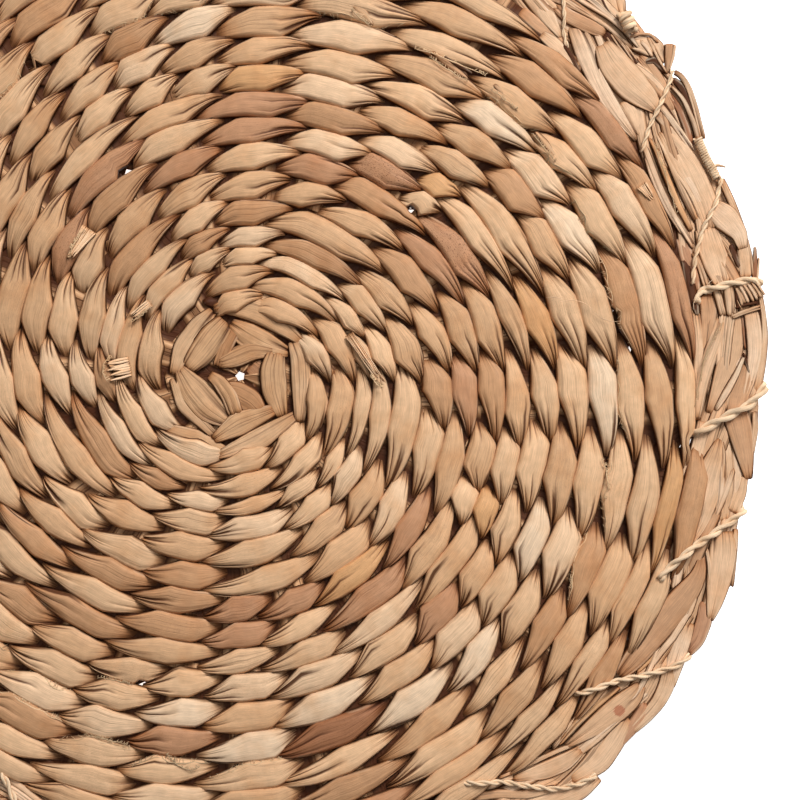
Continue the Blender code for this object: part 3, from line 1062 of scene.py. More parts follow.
def leaning(route, twist):
    """Directions across a strip and out of its face by row, turned by a twist in degrees."""
    run = np.gradient(route, axis=0)
    run /= np.linalg.norm(run, axis=1)[:, None]
    side = np.cross([0.0, 0.0, 1.0], run)
    side /= np.linalg.norm(side, axis=1)[:, None]
    up = np.cross(run, side)
    lean = np.radians(np.broadcast_to(twist, len(route)))[:, None]
    return np.cos(lean) * side + np.sin(lean) * up, np.cos(lean) * up - np.sin(lean) * side


def lay_leaf(
    bundle, master, route, inner, outer, tint, dice, folds=(), drop=0.5, twist=0.0, spots=0.0, gather=0.6
):
    """Lays one strip along points in mm. inner and outer are its reach to both sides, in mm."""
    along = np.linspace(-1.0, 1.0, master.rows)
    side, up = leaning(route, twist)
    inner, outer = np.broadcast_to(inner, master.rows), np.broadcast_to(outer, master.rows)
    width = outer - inner
    drops = drop * width / width.max()
    points, crease, fold = shell(master, route, side, up, inner, outer, drops, LEAF_SKIN, along, folds)
    length = steps_along(route).sum()
    grain = fibre_run(along * length / 2.0, across(master.columns) * width.max() / 2.0, dice)
    # painted shade beside the edges and at the tucked ends
    beside = [1, master.top - 2]
    crease[:, beside] = np.maximum(crease[:, beside], EDGE_DARK)
    tips = TIP_DARK * ramp(np.abs(along), 0.7, 1.0) ** 1.5
    crease = np.clip(0.9 * crease + tips[:, None], 0.0, 0.95)
    gather = gather + 0.5 * ramp(np.abs(along), 0.5, 0.9)
    toast_and_shade = browned_and_shaded(master, along, dice.uniform(0.4, 1.2))
    bundle.lay(
        master, points, grain, crease, tint, toast_and_shade, spots=spots, gather=gather[:, None],
        margin=margins(master, width), fold=fold,
    )


RIM_MASTER = model_master(20, 18)
NARROW_MASTER = model_master(20, 10)
print("triangles of a broad leaf:", (RIM_MASTER.sizes - 2).sum(), "narrow:", (NARROW_MASTER.sizes - 2).sum())

# %% A leaf by its line in a table
# route in picture points, half width at each of its corners, level, tone and number of folds
Leaf = namedtuple("Leaf", "route halves level tone folds")
# in picture points
BROAD_HALF = 7
# in mm: one level, and how deep the ends are tucked
LEVEL_STEP = 0.6
TUCK = 0.7


def spread_route(route, count, *others):
    """Even places along a route in picture points, with what else its corners carry, one by one."""
    route = np.array(route, dtype=float)
    covered = np.cumsum(steps_along(route))
    even = np.linspace(0.0, covered[-1], count)
    return [soften(np.interp(even, covered, values), 2) for values in (*route.T, *others)]


def some_folds(dice, count, master, depths, starts):
    """Folds along a strip, each of which deepens towards one of its ends."""
    folds = []
    for _ in range(count):
        column = int(dice.integers(2, master.top - 2))
        folds.append(Fold(column, dice.uniform(*depths), dice.uniform(*starts), dice.choice([-1.0, 1.0])))
    return folds


def lay_seen_leaf(bundle, leaf, base, dice, shade, gather=(0.3, 0.15)):
    """Lays a leaf with both ends tucked down. shade tints it, gather is for narrow and for broad ones."""
    broad = max(leaf.halves) > BROAD_HALF
    master = RIM_MASTER if broad else NARROW_MASTER
    x, y, half = spread_route(leaf.route, master.rows, leaf.halves)
    tuck = TUCK * ramp(np.abs(np.linspace(-1.0, 1.0, master.rows)), 0.75, 1.0) ** 2
    route = from_picture(x, y, base + LEVEL_STEP * leaf.level - tuck)
    folds = some_folds(dice, leaf.folds, master, (0.35, 0.8), (-0.9, 0.3))
    tint = TONES[leaf.tone] * dice.uniform(0.97, 1.05) * shade
    lay_leaf(
        bundle, master, route, -half * POINT, half * POINT, tint, dice, folds, drop=0.75 if broad else 0.6,
        twist=dice.uniform(-4.0, 4.0), spots=0.15 * dice.uniform(), gather=gather[int(broad)],
    )


print("a leaf is broad above", round(2 * BROAD_HALF * POINT, 1), "mm")

# %% [markdown]
# ## The middle
# The weave starts with a few spokes folded over one another, so its first turns are not a spiral yet
# but a small knot of broad leaves, pressed aside by the folded one below the hole.

# %% Leaves of the middle, by picture points
MIDDLE_LEAVES = (
    # the folded spokes at the bottom, that close the middle but for the hole
    Leaf(((206, 330), (216, 346), (226, 358), (232, 366)), (10, 14, 13, 9), -3.0, "brown", 3),
    Leaf(((246, 344), (254, 356), (262, 372), (262, 390)), (9, 14, 16, 10), -2.0, "brown", 3),
    Leaf(((182, 352), (196, 366), (212, 378), (228, 386)), (10, 14, 12, 7), -3.0, "brown", 3),
    Leaf(((196, 404), (220, 404), (250, 404), (282, 404)), (16, 20, 20, 16), -4.0, "brown", 4),
    Leaf(((180, 330), (220, 318), (262, 324), (300, 348)), (14, 18, 16, 14), -4.0, "brown", 4),
    Leaf(((288, 340), (292, 370), (292, 400), (286, 430)), (14, 18, 18, 14), -4.0, "brown", 4),
    Leaf(((172, 340), (174, 380), (184, 414), (214, 440)), (12, 16, 16, 12), -4.0, "brown", 4),
    Leaf(((160, 352), (172, 326), (196, 304), (226, 294)), (12, 14, 14, 12), -4.5, "brown", 4),
    Leaf(((196, 444), (230, 446), (264, 438)), (12, 13, 12), -4.5, "brown", 4),
    Leaf(((249, 364), (259, 372), (270, 382)), (10, 12, 9), -1.2, "ruddy", 1),
    # the leaves over it
    Leaf(((247, 302), (268, 302), (292, 312), (314, 331)), (7, 13, 12, 5), -0.6, "pale", 3),
    Leaf(((210, 309), (232, 305), (258, 310), (280, 324), (303, 343)), (4, 11, 14, 11, 4), 1.2, "tan", 3),
    Leaf(((228, 322), (244, 334), (264, 345), (290, 353)), (6, 14, 15, 5), 0.7, "tan", 6),
    Leaf(((213, 309), (199, 325), (182, 347), (172, 376)), (5, 11, 11, 5), 0.8, "pale", 3),
    Leaf(((226, 320), (213, 336), (200, 354), (186, 370)), (10, 15, 14, 8), 1.3, "tan", 4),
    Leaf(((236, 328), (225, 346), (216, 368)), (6, 8, 6), 0.4, "dark", 3),
    Leaf(((216, 364), (233, 358), (252, 350), (278, 352)), (5, 11, 11, 4), 0.8, "mid", 3),
    Leaf(((276, 350), (272, 370), (274, 392), (282, 418)), (9, 14, 14, 6), 1.6, "tan", 5),
    Leaf(((292, 339), (300, 358), (301, 385), (299, 424)), (6, 11, 11, 5), 1.2, "pale", 2),
    Leaf(((304, 333), (316, 350), (331, 378)), (6, 10, 5), 0.9, "tan", 2),
    Leaf(((177, 366), (191, 388), (208, 408), (231, 424)), (5, 16, 17, 6), 1.2, "tan", 7),
    Leaf(((171, 376), (183, 405), (214, 436)), (4, 9, 5), 0.8, "pale", 3),
    Leaf(((222, 388), (236, 393), (250, 401), (262, 414)), (8, 13, 13, 7), 1.6, "dark", 1),
    Leaf(((208, 374), (219, 382), (229, 396), (236, 416)), (5, 8, 9, 8), 2.3, "mid", 2),
    Leaf(((211, 441), (238, 424), (276, 409)), (4, 14, 6), 1.6, "tan", 2),
    Leaf(((214, 457), (258, 440), (297, 414)), (4, 13, 5), 0.9, "pale", 2),
    Leaf(((163, 430), (194, 440), (230, 453)), (8, 12, 4), 0.4, "tan", 3),
    Leaf(((310, 348), (322, 362), (336, 374)), (5, 6, 4), 0.2, "dark", 2),
)
MIDDLE_BASE = 5.6
# the middle's leaves are tinted darker and browner, as painted shade of the sunken middle
MIDDLE_SHADE = np.array([0.86, 0.80, 0.74])
middle = Bundle("middle_leaves")
for leaf in MIDDLE_LEAVES:
    lay_seen_leaf(middle, leaf, MIDDLE_BASE, dice, MIDDLE_SHADE, gather=(0.45, 0.4))
print("leaves of the middle:", len(MIDDLE_LEAVES))

# %% Leaves folded round the hole on the back
KNOT_LEAVES = 6
# radii of a leaf's middle and of its ends in picture points, the angle between them and its half widths
KNOT_RADIUS = 31.0
KNOT_REACH = 62.0
KNOT_SWEEP = 62.0
KNOT_HALVES = (10.0, 25.0, 10.0)
# in mm: each leaf slopes under the next
KNOT_HEIGHT = 1.4
KNOT_SLOPE = 0.35
FACE_DOWN = 180.0
for index in range(KNOT_LEAVES):
    angle = FULL_TURN * index / KNOT_LEAVES + dice.uniform(-6.0, 6.0)
    corners = ((angle - KNOT_SWEEP, KNOT_REACH), (angle, KNOT_RADIUS), (angle + KNOT_SWEEP, KNOT_REACH))
    x, y, half = spread_route([to_picture(*corner) for corner in corners], RIM_MASTER.rows, KNOT_HALVES)
    route = from_picture(x, y, KNOT_HEIGHT + np.linspace(-KNOT_SLOPE, KNOT_SLOPE, RIM_MASTER.rows))
    # the same painted shade as the middle
    tint = TONES["tan"] * MIDDLE_SHADE
    lay_leaf(middle, RIM_MASTER, route, -half * POINT, half * POINT, tint, dice, drop=0.7, twist=FACE_DOWN)
middle.finish(LEAF_FINISH, "leaf_strip", "woven_disc")

# %% [markdown]
# ## The plaited rim
# The rim is a flat plait of three bundles of leaf. A bundle goes over its neighbour on the way in and
# over the other one on the way out, so what shows is a row of short broad leaves that lean in and out
# by turns. Each one is laid as its own strip, with both ends hidden under the next.

# %% The course of the rim
# clockwise angle, then the middle and the half width of the rim there in picture points
RIM_COURSE = (
    (-75, 495, 38), (-55, 497, 39), (-38, 498, 41), (-28, 493, 36), (-20, 490, 34), (-8, 493, 37),
    (2, 491, 33), (15, 490, 33), (23, 498, 33), (31, 506, 30), (45, 509, 30), (58, 508, 30), (75, 495, 38),
)


def rim_course(angle):
    """Middle and half width of the rim at clockwise angles."""
    place, middle, half = zip(*RIM_COURSE)
    return np.interp(apart(angle), place, middle), np.interp(apart(angle), place, half)


print("rim, mm across:", round(2 * POINT * min(half for _, _, half in RIM_COURSE), 1), "at its narrowest")

# %% One leaf of the plait
RIM_SHADE = np.array([1.06, 1.09, 1.17])
STRANDS = 3
# degrees of the rim from one wave of a strand to the next, and where the first one starts
PLAIT_PERIOD = 36.0
PLAIT_START = 8.0
HUMPS = round(2 * FULL_TURN / PLAIT_PERIOD)
# half the width of a strand in picture points
PLAIT_BAND = 19.0
# in mm
PLAIT_RISE = 1.2
RIM_HEIGHT = 5.3
# where the leaves that show lie over the plait, it is flatter and lower
SEEN_ANGLE = 62.0
SEEN_RISE = 0.5
SEEN_SINK = 0.9


def plait_leaf(bundle, master, strand, hump, offset, half, lift, tint, dice, folds=(), lap=24.0, narrow=0.0):
    """One passage of a strand over the others, from under one neighbour to under the next."""
    phase = np.linspace(-45.0 - lap, 135.0 + lap, master.rows) + 180.0 * hump
    angle = PLAIT_START + (phase / FULL_TURN + strand / STRANDS) * PLAIT_PERIOD
    swing = np.sin(np.radians(phase))
    middle, room = rim_course(angle)
    seen = np.abs(apart(angle)) < SEEN_ANGLE
    rise = PLAIT_RISE * np.sin(np.radians(2.0 * phase)) * np.where(seen, SEEN_RISE, 1.0)
    route = around(angle, middle + swing * (room - PLAIT_BAND), RIM_HEIGHT + rise + lift - SEEN_SINK * seen)
    bend = soften(dice.normal(0.0, 0.25, master.rows), 3)
    taper = 1.0 - narrow * np.linspace(-1.0, 1.0, master.rows) ** 2
    inner, outer = ((offset + way * half) * POINT * taper + bend for way in (-1.0, 1.0))
    drop = 0.7 if master is RIM_MASTER else 0.5
    lay_leaf(bundle, master, route, inner, outer, tint, dice, folds, drop=drop, twist=-9.0 * swing)


def broad_passage(bundle, strand, hump, dice):
    """The broad leaf of a passage, which carries the narrow ones."""
    tint = TONES["mid"] * dice.uniform(0.92, 1.12) * RIM_SHADE
    folds = some_folds(dice, dice.integers(3, 7), RIM_MASTER, (0.25, 0.7), (-0.4, 0.4))
    plait_leaf(bundle, RIM_MASTER, strand, hump, dice.uniform(-2, 2), PLAIT_BAND, 0.0, tint, dice, folds)


def narrow_passage(bundle, strand, hump, dice):
    """A narrow leaf on the broad one."""
    half = dice.uniform(3.0, 7.5)
    offset = dice.uniform(-1.0, 1.0) * (PLAIT_BAND - half + 1.5)
    tone = ("pale", "tan", "mid", "dark")[dice.integers(4)]
    tint = TONES[tone] * dice.uniform(0.95, 1.05) * RIM_SHADE
    plait_leaf(
        bundle, NARROW_MASTER, strand, hump, offset, half, dice.uniform(0.3, 0.55), tint, dice,
        lap=dice.uniform(5, 24), narrow=dice.uniform(0.0, 0.5),
    )


print("passages of the plait:", STRANDS * HUMPS)

# %% The plait
# the bed is leaves below the plait, along its inner edge, that close the gap between it and the weave
# their angles in degrees, and their radius and half width in picture points
BED_ANGLES = range(66, 318, 18)
BED_LENGTH = 26
BED_RADIUS = 467.0
BED_HALF = 11.0
BED_HEIGHT = 3.7
plait = Bundle("plait_leaves")
for angle in BED_ANGLES:
    angles = np.linspace(angle, angle + BED_LENGTH, NARROW_MASTER.rows)
    route = around(angles, BED_RADIUS, BED_HEIGHT + dice.uniform(-0.2, 0.2))
    tint = TONES["dark"] * dice.uniform(0.85, 1.0)
    lay_leaf(plait, NARROW_MASTER, route, -BED_HALF * POINT, BED_HALF * POINT, tint, dice)
for strand in range(STRANDS):
    for hump in range(HUMPS):
        broad_passage(plait, strand, hump, dice)
        for _ in range(dice.integers(2, 5)):
            narrow_passage(plait, strand, hump, dice)
plait.finish(LEAF_FINISH, "plait_leaf", "plaited_rim")

# %% [markdown]
# ## The part of the rim that shows
# Where the camera sees the rim, its leaves are irregular: broad ones folded over at the edge, narrow
# ones slipped in beside them, a splice with frayed ends and a second one under the tie. Each of these
# gets its own line in a table, with its route and its half width at each point of the route.

# %% Leaves of the rim, by picture points
RIM_LEAVES = (
    # leaves of the deep tone are dark sheets laid in the gaps between leaves, as painted shade
    # round the upper right
    Leaf(((541, 31), (555, 42), (568, 56), (580, 74)), (5, 8, 8, 4), 1.0, "tan", 2),
    Leaf(((564, 42), (573, 56), (582, 74)), (2, 2.6, 2), 1.5, "deep", 0),
    Leaf(((520, 6), (540, 23), (558, 36), (570, 50)), (8, 8, 7, 3), 0.0, "dark", 2),
    Leaf(((530, -12), (549, 15), (563, 37)), (10, 9, 2), 0.8, "tan", 1),
    Leaf(((575, 20), (588, 52), (598, 80), (615, 109), (640, 141)), (9, 13, 9, 9, 2), 1.2, "pale", 3),
    Leaf(((556, 2), (569, 14), (589, 23), (608, 32)), (7, 8, 9, 6), 1.6, "dark", 4),
    Leaf(((550, -14), (572, 2), (606, 23), (636, 49)), (3, 3, 3, 2), 2.0, "tan", 1),
    Leaf(((560, -16), (583, 0), (612, 17), (639, 43)), (3, 3, 3, 2), 2.3, "pale", 1),
    Leaf(((555, -15), (577, 1), (610, 26), (634, 56)), (2, 2, 2, 2), 1.8, "dark", 0),
    Leaf(((575, -16), (597, 2), (624, 26), (643, 50)), (4, 4, 3, 2), 2.1, "straw", 1),
    Leaf(((592, -12), (606, 2), (628, 22), (640, 34)), (5, 5, 3, 2), 1.7, "pale", 1),
    Leaf(((600, -8), (607, 6), (616, 18)), (2, 2, 1), 1.9, "deep", 0),
    Leaf(((609, -14), (613, 0), (619, 18)), (5, 6, 4), 0.8, "tan", 1),
    Leaf(((619, -14), (622, 0), (625, 14)), (5, 6, 3), 0.6, "tan", 1),
    Leaf(((602, 40), (614, 62), (633, 84), (651, 100), (660, 111)), (9, 17, 18, 12, 4), 2.2, "tan", 1),
    Leaf(((624, 98), (633, 112), (642, 136)), (8, 9, 3), 0.9, "tan", 3),
    Leaf(((604, 30), (616, 42), (628, 54), (640, 64)), (7, 7, 6, 4), 1.2, "deep", 0),
    Leaf(((611, 31), (619, 44), (632, 60)), (1.3, 1.3, 1), 1.7, "mid", 0),
    Leaf(((616, 32), (624, 44), (636, 62)), (1.2, 1.3, 1), 1.8, "tan", 0),
    Leaf(((621, 33), (629, 46), (639, 60)), (1.3, 1.3, 1), 1.7, "mid", 0),
    Leaf(((607, 34), (615, 47), (627, 60)), (1.3, 1.3, 1), 1.6, "tan", 0),
    Leaf(((640, 52), (652, 66), (660, 80), (668, 96), (676, 112)), (5, 7, 8, 7, 3), 1.0, "dark", 2),
    Leaf(((645, 61), (656, 58), (668, 72)), (3, 5, 2), 1.3, "deep", 0),
    Leaf(((648, 34), (654, 46), (660, 58), (669, 73)), (2, 2, 2, 1), 2.0, "tan", 0),
    Leaf(((628, 37), (640, 32), (652, 33), (660, 42)), (2, 2, 2, 1.5), 2.3, "dark", 0),
    Leaf(((632, 42), (645, 43), (655, 52)), (6, 10, 6), 1.7, "tan", 6),
    Leaf(((640, 38), (648, 46), (654, 56)), (2, 3, 2), 2.2, "pale", 1),
    Leaf(((651, 33), (660, 44), (667, 62)), (3, 6, 3), 1.6, "tan", 5),
    Leaf(((671, 41), (670, 56), (668, 72)), (6, 5, 2), 2.0, "dark", 2),
    Leaf(((676, 42), (674, 56), (670, 70)), (2, 2, 1), 2.4, "tan", 0),
    Leaf(((674, 69), (683, 74), (690, 86), (696, 104), (705, 140)), (3, 3, 3.5, 3.5, 3.5), 1.8, "tan", 2),
    Leaf(((673, 76), (684, 86), (692, 108), (699, 132)), (3, 5, 5, 3), 0.9, "deep", 0),
    Leaf(((672, 83), (685, 98), (695, 120), (701, 142)), (2, 2.5, 3, 3), 1.6, "pale", 1),
    Leaf(((669, 90), (680, 106), (688, 126), (694, 146)), (3, 4, 4, 4), 1.2, "brown", 1),
    Leaf(((664, 98), (675, 116), (686, 138)), (2, 2, 2), 1.1, "deep", 0),
    Leaf(((660, 102), (673, 119), (688, 140), (696, 152)), (4, 4, 4, 3), 1.7, "pale", 1),
    Leaf(((658, 112), (670, 127), (684, 143)), (5, 5, 3), 1.5, "tan", 1),
    Leaf(((662, 126), (676, 146), (692, 172), (708, 205), (714, 232)), (6, 13, 16, 14, 7), 1.8, "tan", 3),
    Leaf(((644, 140), (650, 158), (659, 182), (672, 210), (697, 250)), (3, 4.5, 4.5, 4, 3), 1.6, "pale", 1),
    Leaf(((650, 134), (659, 152), (668, 176), (680, 205), (694, 232)), (2.5, 3.5, 4, 4, 3), 2.0,
         "orange", 1),
    Leaf(((656, 128), (666, 148), (676, 172), (688, 198), (700, 224)), (2.5, 3.5, 4, 5, 3), 1.7, "tan", 2),
    Leaf(((646, 150), (654, 178), (668, 208), (686, 236)), (3, 3, 3, 2.5), 1.3, "pale", 0),
    Leaf(((722, 176), (733, 200), (744, 228), (750, 250)), (4, 4.5, 4, 3), 1.0, "tan", 1),
    Leaf(((712, 205), (727, 217), (741, 233), (745, 250)), (10, 15, 9, 5), 2.3, "pale", 2),
    Leaf(((743, 236), (747, 255), (749, 278)), (7, 8, 8), 1.4, "tan", 2),
    Leaf(((732, 243), (736, 254), (742, 268)), (3, 4, 2), 1.2, "deep", 0),
    Leaf(((757, 245), (757, 262), (757, 280)), (1.5, 3, 3.5), 1.0, "brown", 1),
    Leaf(((761, 256), (760, 268), (759, 280)), (1, 1.5, 1.5), 1.2, "tan", 0),
    Leaf(((738, 256), (744, 268), (749, 280)), (2, 5, 4), 0.8, "dark", 5),
    Leaf(((707, 224), (712, 244), (719, 264), (726, 286)), (12, 15, 15, 9), 1.4, "tan", 3),
    Leaf(((682, 234), (688, 254), (694, 272), (698, 294)), (6, 8, 8, 5), 0.2, "ruddy", 2),
    Leaf(((686, 258), (690, 276), (694, 294), (697, 310)), (4, 6, 6, 3), 1.0, "deep", 1),
    Leaf(((695, 250), (702, 266), (709, 288)), (4, 4, 4), 1.2, "mid", 1),
    Leaf(((698, 134), (704, 150), (709, 161), (714, 170), (718, 178)), (3.6, 3.4, 3.2, 3, 2.6), 2.2,
         "mid", 0),
    Leaf(((713, 165), (720, 164), (728, 166)), (1.5, 1.5, 0.8), 1.8, "mid", 0),
    # the cut ends under the tie
    Leaf(((716, 285), (720, 298), (725, 317)), (4, 4.5, 4), 2.3, "tan", 2),
    Leaf(((729, 283), (731, 300), (732, 317)), (6, 6, 4), 2.6, "tan", 1),
    Leaf(((738, 285), (738, 296), (740, 309)), (2, 2, 2), 1.9, "deep", 0),
    Leaf(((744, 281), (750, 291), (754, 301)), (8, 11, 10), 2.0, "tan", 7),
    Leaf(((737, 286), (741, 296), (744, 306)), (1.6, 2, 1.8), 2.5, "mid", 0),
    Leaf(((740, 284), (746, 294), (750, 303)), (1.5, 2, 2), 2.7, "pale", 1),
    Leaf(((744, 283), (750, 292), (755, 302)), (1.5, 1.8, 1.8), 2.8, "tan", 0),
    Leaf(((748, 282), (754, 291), (759, 300)), (1.4, 1.8, 1.8), 2.7, "pale", 0),
    Leaf(((752, 281), (758, 289), (763, 298)), (1.4, 1.7, 1.7), 2.6, "mid", 0),
    Leaf(((756, 280), (761, 287), (766, 295)), (1.4, 1.6, 1.6), 2.4, "tan", 0),
    Leaf(((736, 308), (748, 304), (760, 302)), (1.5, 2, 2), 2.1, "deep", 0),
    Leaf(((731, 318), (745, 312), (764, 306)), (2.5, 3, 3), 2.8, "mid", 2),
    Leaf(((697, 300), (697, 307), (699, 315)), (3, 4, 2), 1.6, "deep", 0),
    # round the right, from the tie down
    Leaf(((708, 292), (711, 318), (711, 345), (703, 372)), (8, 9, 9, 6), 0.9, "dark", 3),
    Leaf(((697, 308), (699, 325), (701, 350), (699, 385), (694, 424)), (5, 6, 6, 6, 4), 1.3, "tan", 3),
    Leaf(((724, 316), (718, 338), (709, 362), (702, 390), (697, 422)), (6, 8, 8, 7, 5), 1.7, "tan", 2),
    Leaf(((735, 310), (738, 330), (733, 352), (726, 378), (711, 416)), (8, 11, 13, 12, 5), 1.2, "mid", 2),
    Leaf(((744, 316), (745, 332), (747, 350)), (1, 1.2, 1), 1.7, "brown", 0),
    Leaf(((747, 352), (738, 374), (728, 392), (716, 412)), (1.6, 3.6, 4.6, 2.6), 2.2, "pale", 2),
    Leaf(((748, 362), (746, 380), (741, 398), (735, 420)), (3, 9, 13, 8), 1.5, "dark", 2),
    Leaf(((752, 306), (756, 330), (757, 352), (752, 380), (745, 404)), (8, 9, 8, 6, 3), 1.7, "pale", 2),
    Leaf(((759, 282), (763, 298), (766, 318), (767, 337), (764, 362), (757, 398)), (2, 3, 3, 4, 5, 6),
         1.2, "tan", 1),
    Leaf(((745, 352), (748, 362), (751, 374)), (0.8, 2.2, 0.8), 2.0, "deep", 0),
    Leaf(((757, 288), (760, 304), (762, 330), (762, 352)), (2, 3.4, 2.6, 1.5), 0.7, "deep", 0),
    Leaf(((757, 350), (757, 372), (751, 402)), (6, 8, 7), 1.0, "tan", 2),
    Leaf(((736, 408), (742, 430), (747, 455), (751, 482)), (14, 14, 10, 4), 1.6, "dark", 3),
    Leaf(((757, 410), (757, 430), (753, 458)), (3, 4, 3), 0.8, "tan", 1),
    Leaf(((722, 436), (718, 456), (709, 486), (699, 522), (687, 550)), (3, 11, 18, 13, 4), 1.9, "tan", 4),
    Leaf(((735, 466), (727, 492), (716, 520)), (4, 5, 3), 1.4, "pale", 1),
    Leaf(((706, 420), (702, 440), (696, 462), (690, 486)), (7, 8, 7, 4), 1.1, "tan", 2),
    Leaf(((690, 448), (688, 476), (688, 508), (684, 545)), (3, 6, 7, 4), 0.9, "tan", 2),
    Leaf(((745, 474), (741, 494), (734, 514)), (6, 8, 7), 1.1, "tan", 3),
    Leaf(((722, 494), (724, 508), (726, 522)), (8, 8, 6), 0.6, "mid", 2),
    # the lower right
    Leaf(((724, 530), (725, 552), (721, 578), (716, 604), (711, 624)), (12, 15, 14, 9, 3), 1.7, "tan", 2),
    Leaf(((738, 528), (736, 552), (733, 590)), (3, 4, 3), 1.2, "tan", 1),
    Leaf(((704, 552), (701, 577), (684, 600), (661, 628), (632, 664), (618, 680)), (2.5, 9, 15, 15, 12, 5),
         2.0, "dark", 2),
    Leaf(((708, 548), (711, 566), (712, 590)), (2, 2.5, 2), 1.4, "tan", 0),
    Leaf(((682, 558), (680, 572), (676, 592)), (6, 6, 5), 1.1, "pale", 2),
    Leaf(((668, 576), (660, 596), (651, 620)), (9, 9, 5), 0.9, "mid", 1),
    Leaf(((707, 600), (706, 622), (699, 642), (688, 656)), (6, 9, 8, 5), 0.9, "ruddy", 5),
    Leaf(((690, 622), (684, 640), (677, 662), (668, 690)), (8, 10, 10, 8), 1.1, "pale", 4),
    Leaf(((664, 640), (652, 658), (636, 674)), (4, 6, 4), 1.3, "orange", 3),
    Leaf(((672, 668), (668, 688), (660, 704), (646, 720), (630, 736)), (8, 9, 8, 7, 4), 1.4, "tan", 3),
    Leaf(((644, 684), (634, 698), (616, 713), (593, 730), (564, 750)), (5, 12, 14, 10, 2), 2.1, "mid", 2),
    Leaf(((622, 686), (602, 702), (580, 722), (558, 748)), (4, 5, 5, 3), 2.0, "orange", 3),
    Leaf(((612, 688), (592, 706), (570, 728), (552, 752)), (3, 4, 4, 3), 1.6, "tan", 1),
    Leaf(((630, 718), (618, 740), (601, 765), (570, 784)), (7, 11, 12, 5), 1.4, "tan", 1),
    Leaf(((648, 704), (638, 724), (618, 748)), (5, 8, 5), 1.3, "ruddy", 3),
    Leaf(((584, 750), (566, 764), (545, 773), (512, 781)), (5, 10, 10, 3), 1.8, "tan", 1),
    Leaf(((592, 740), (560, 752), (530, 766), (497, 781)), (2, 3, 3, 2), 1.5, "mid", 0),
    Leaf(((600, 776), (580, 792), (550, 804), (520, 812)), (8, 12, 12, 8), 1.0, "tan", 3),
    Leaf(((560, 790), (530, 797), (500, 796), (470, 800)), (4, 6, 6, 5), 1.3, "mid", 2),
)
SEEN_BASE = 4.7
seen_rim = Bundle("seen_rim_leaves")
for leaf in RIM_LEAVES:
    lay_seen_leaf(seen_rim, leaf, SEEN_BASE, dice, RIM_SHADE)
seen_rim.finish(STAINED_FINISH, "plait_leaf", "plaited_rim")

# %% [markdown]
# ## The twine
# Two plies of fibre twisted together make the twine. It is sewn over and over round the rim, so its
# route is one long coil: over the leaves, down through the seam, and back below to the next stitch.
# Each ply is a tube whose middle winds round that route. Where the twine lies over leaves, a ray
# straight down finds the highest of them, so that it rests on them as the real one does.

# %% Stitches of the twine
# picture points of each seen stitch from the outer edge inwards, and half the width of the twine
Over = namedtuple("Over", "route half")
SEEN_OVERS = (
    Over(((566, -44), (564, 0), (565, 17), (564, 29), (568, 45)), 2.3),
    Over(((674, 68), (671, 80), (664, 97), (657, 112), (650, 126), (643, 150)), 2.6),
    Over(((723, 176), (718, 200), (704, 228), (696, 258), (694, 283)), 2.8),
    Over(((763, 283), (757, 279), (747, 280), (736, 282), (725, 285), (714, 288), (703, 290), (699, 296),
          (698, 302)), 4.2),
    Over(((768, 386), (752, 404), (729, 416), (712, 425), (695, 434)), 5.0),
    Over(((747, 510), (738, 518), (718, 532), (695, 547), (680, 559), (665, 573), (659, 581)), 4.2),
    Over(((692, 656), (681, 665), (666, 671), (647, 676), (628, 680), (608, 684), (592, 690), (576, 695)),
         3.6),
    Over(((598, 776), (579, 786), (555, 791), (532, 788), (500, 783), (464, 783)), 3.3),
)
# the stitches outside the picture share the angles between these two evenly
UNSEEN_FROM, UNSEEN_TO = 50.0, 324.0
UNSEEN_PLACES = 19
UNSEEN_LEAN = 10.0
# in picture points
UNSEEN_HALF = 3.8
SEAM_RADIUS = 464.0
OUTSIDE_RADIUS = 560.0
# where rays look for the rim's edge, in mm
EDGE_HEIGHTS = (4.0, 5.0, 6.0, 7.0)
leaf_trees = [
    BVHTree.FromObject(bpy.data.objects[name], bpy.context.evaluated_depsgraph_get())
    for name in ("seen_rim_leaves", "plait_leaves", "outer_face_weave")
]


def rim_edge(angle):
    """How far out the rim's leaves reach at an angle, in picture points."""
    away = Vector(outwards(angle))
    reach = []
    for height in EDGE_HEIGHTS:
        place = away * OUTSIDE_RADIUS * POINT * MM + Vector((0.0, 0.0, height * MM))
        hits = [tree.ray_cast(place, -away)[0] for tree in leaf_trees]
        reach += [hit.xy.length / (POINT * MM) for hit in hits if hit]
    return max(reach)


def unseen_over(outer):
    """A stitch of the twine outside the picture."""
    edge = rim_edge(outer) + UNSEEN_HALF / 2.0
    return Over((to_picture(outer, edge), to_picture(outer + UNSEEN_LEAN, SEAM_RADIUS)), UNSEEN_HALF)


# stitches that the picture shows take the first of these places and the last two
UNSEEN_OUTERS = np.linspace(UNSEEN_FROM, UNSEEN_TO, UNSEEN_PLACES)[1:-2]
overs = [SEEN_OVERS[-1], *(unseen_over(outer) for outer in UNSEEN_OUTERS), *SEEN_OVERS[:-1]]
print("stitches of the twine:", len(overs), "outside the picture:", len(UNSEEN_OUTERS))

# %% Let the twine rest on the leaves
OVER_ROWS = 66
UNDER_ROWS = 34
# heights in mm: of the way back below, and of its two ends as they rise
TWINE_BOTTOM = 2.2
SEAM_END, EDGE_END = 3.4, 3.2
# the highest that the outer and the inner end of a stitch may lie
OUTER_TOP, INNER_TOP = 5.3, 6.0
# a stitch's middle lies so many half widths over the leaves
TWINE_BEND = 0.8
RAY_HEIGHT = 20.0
LOWEST_LEAF = 4.0
# where a ray meets no leaf
BARE_HEIGHT = 4.5
# the way back comes up a little inside the rim's edge
EDGE_SHARE = 0.995


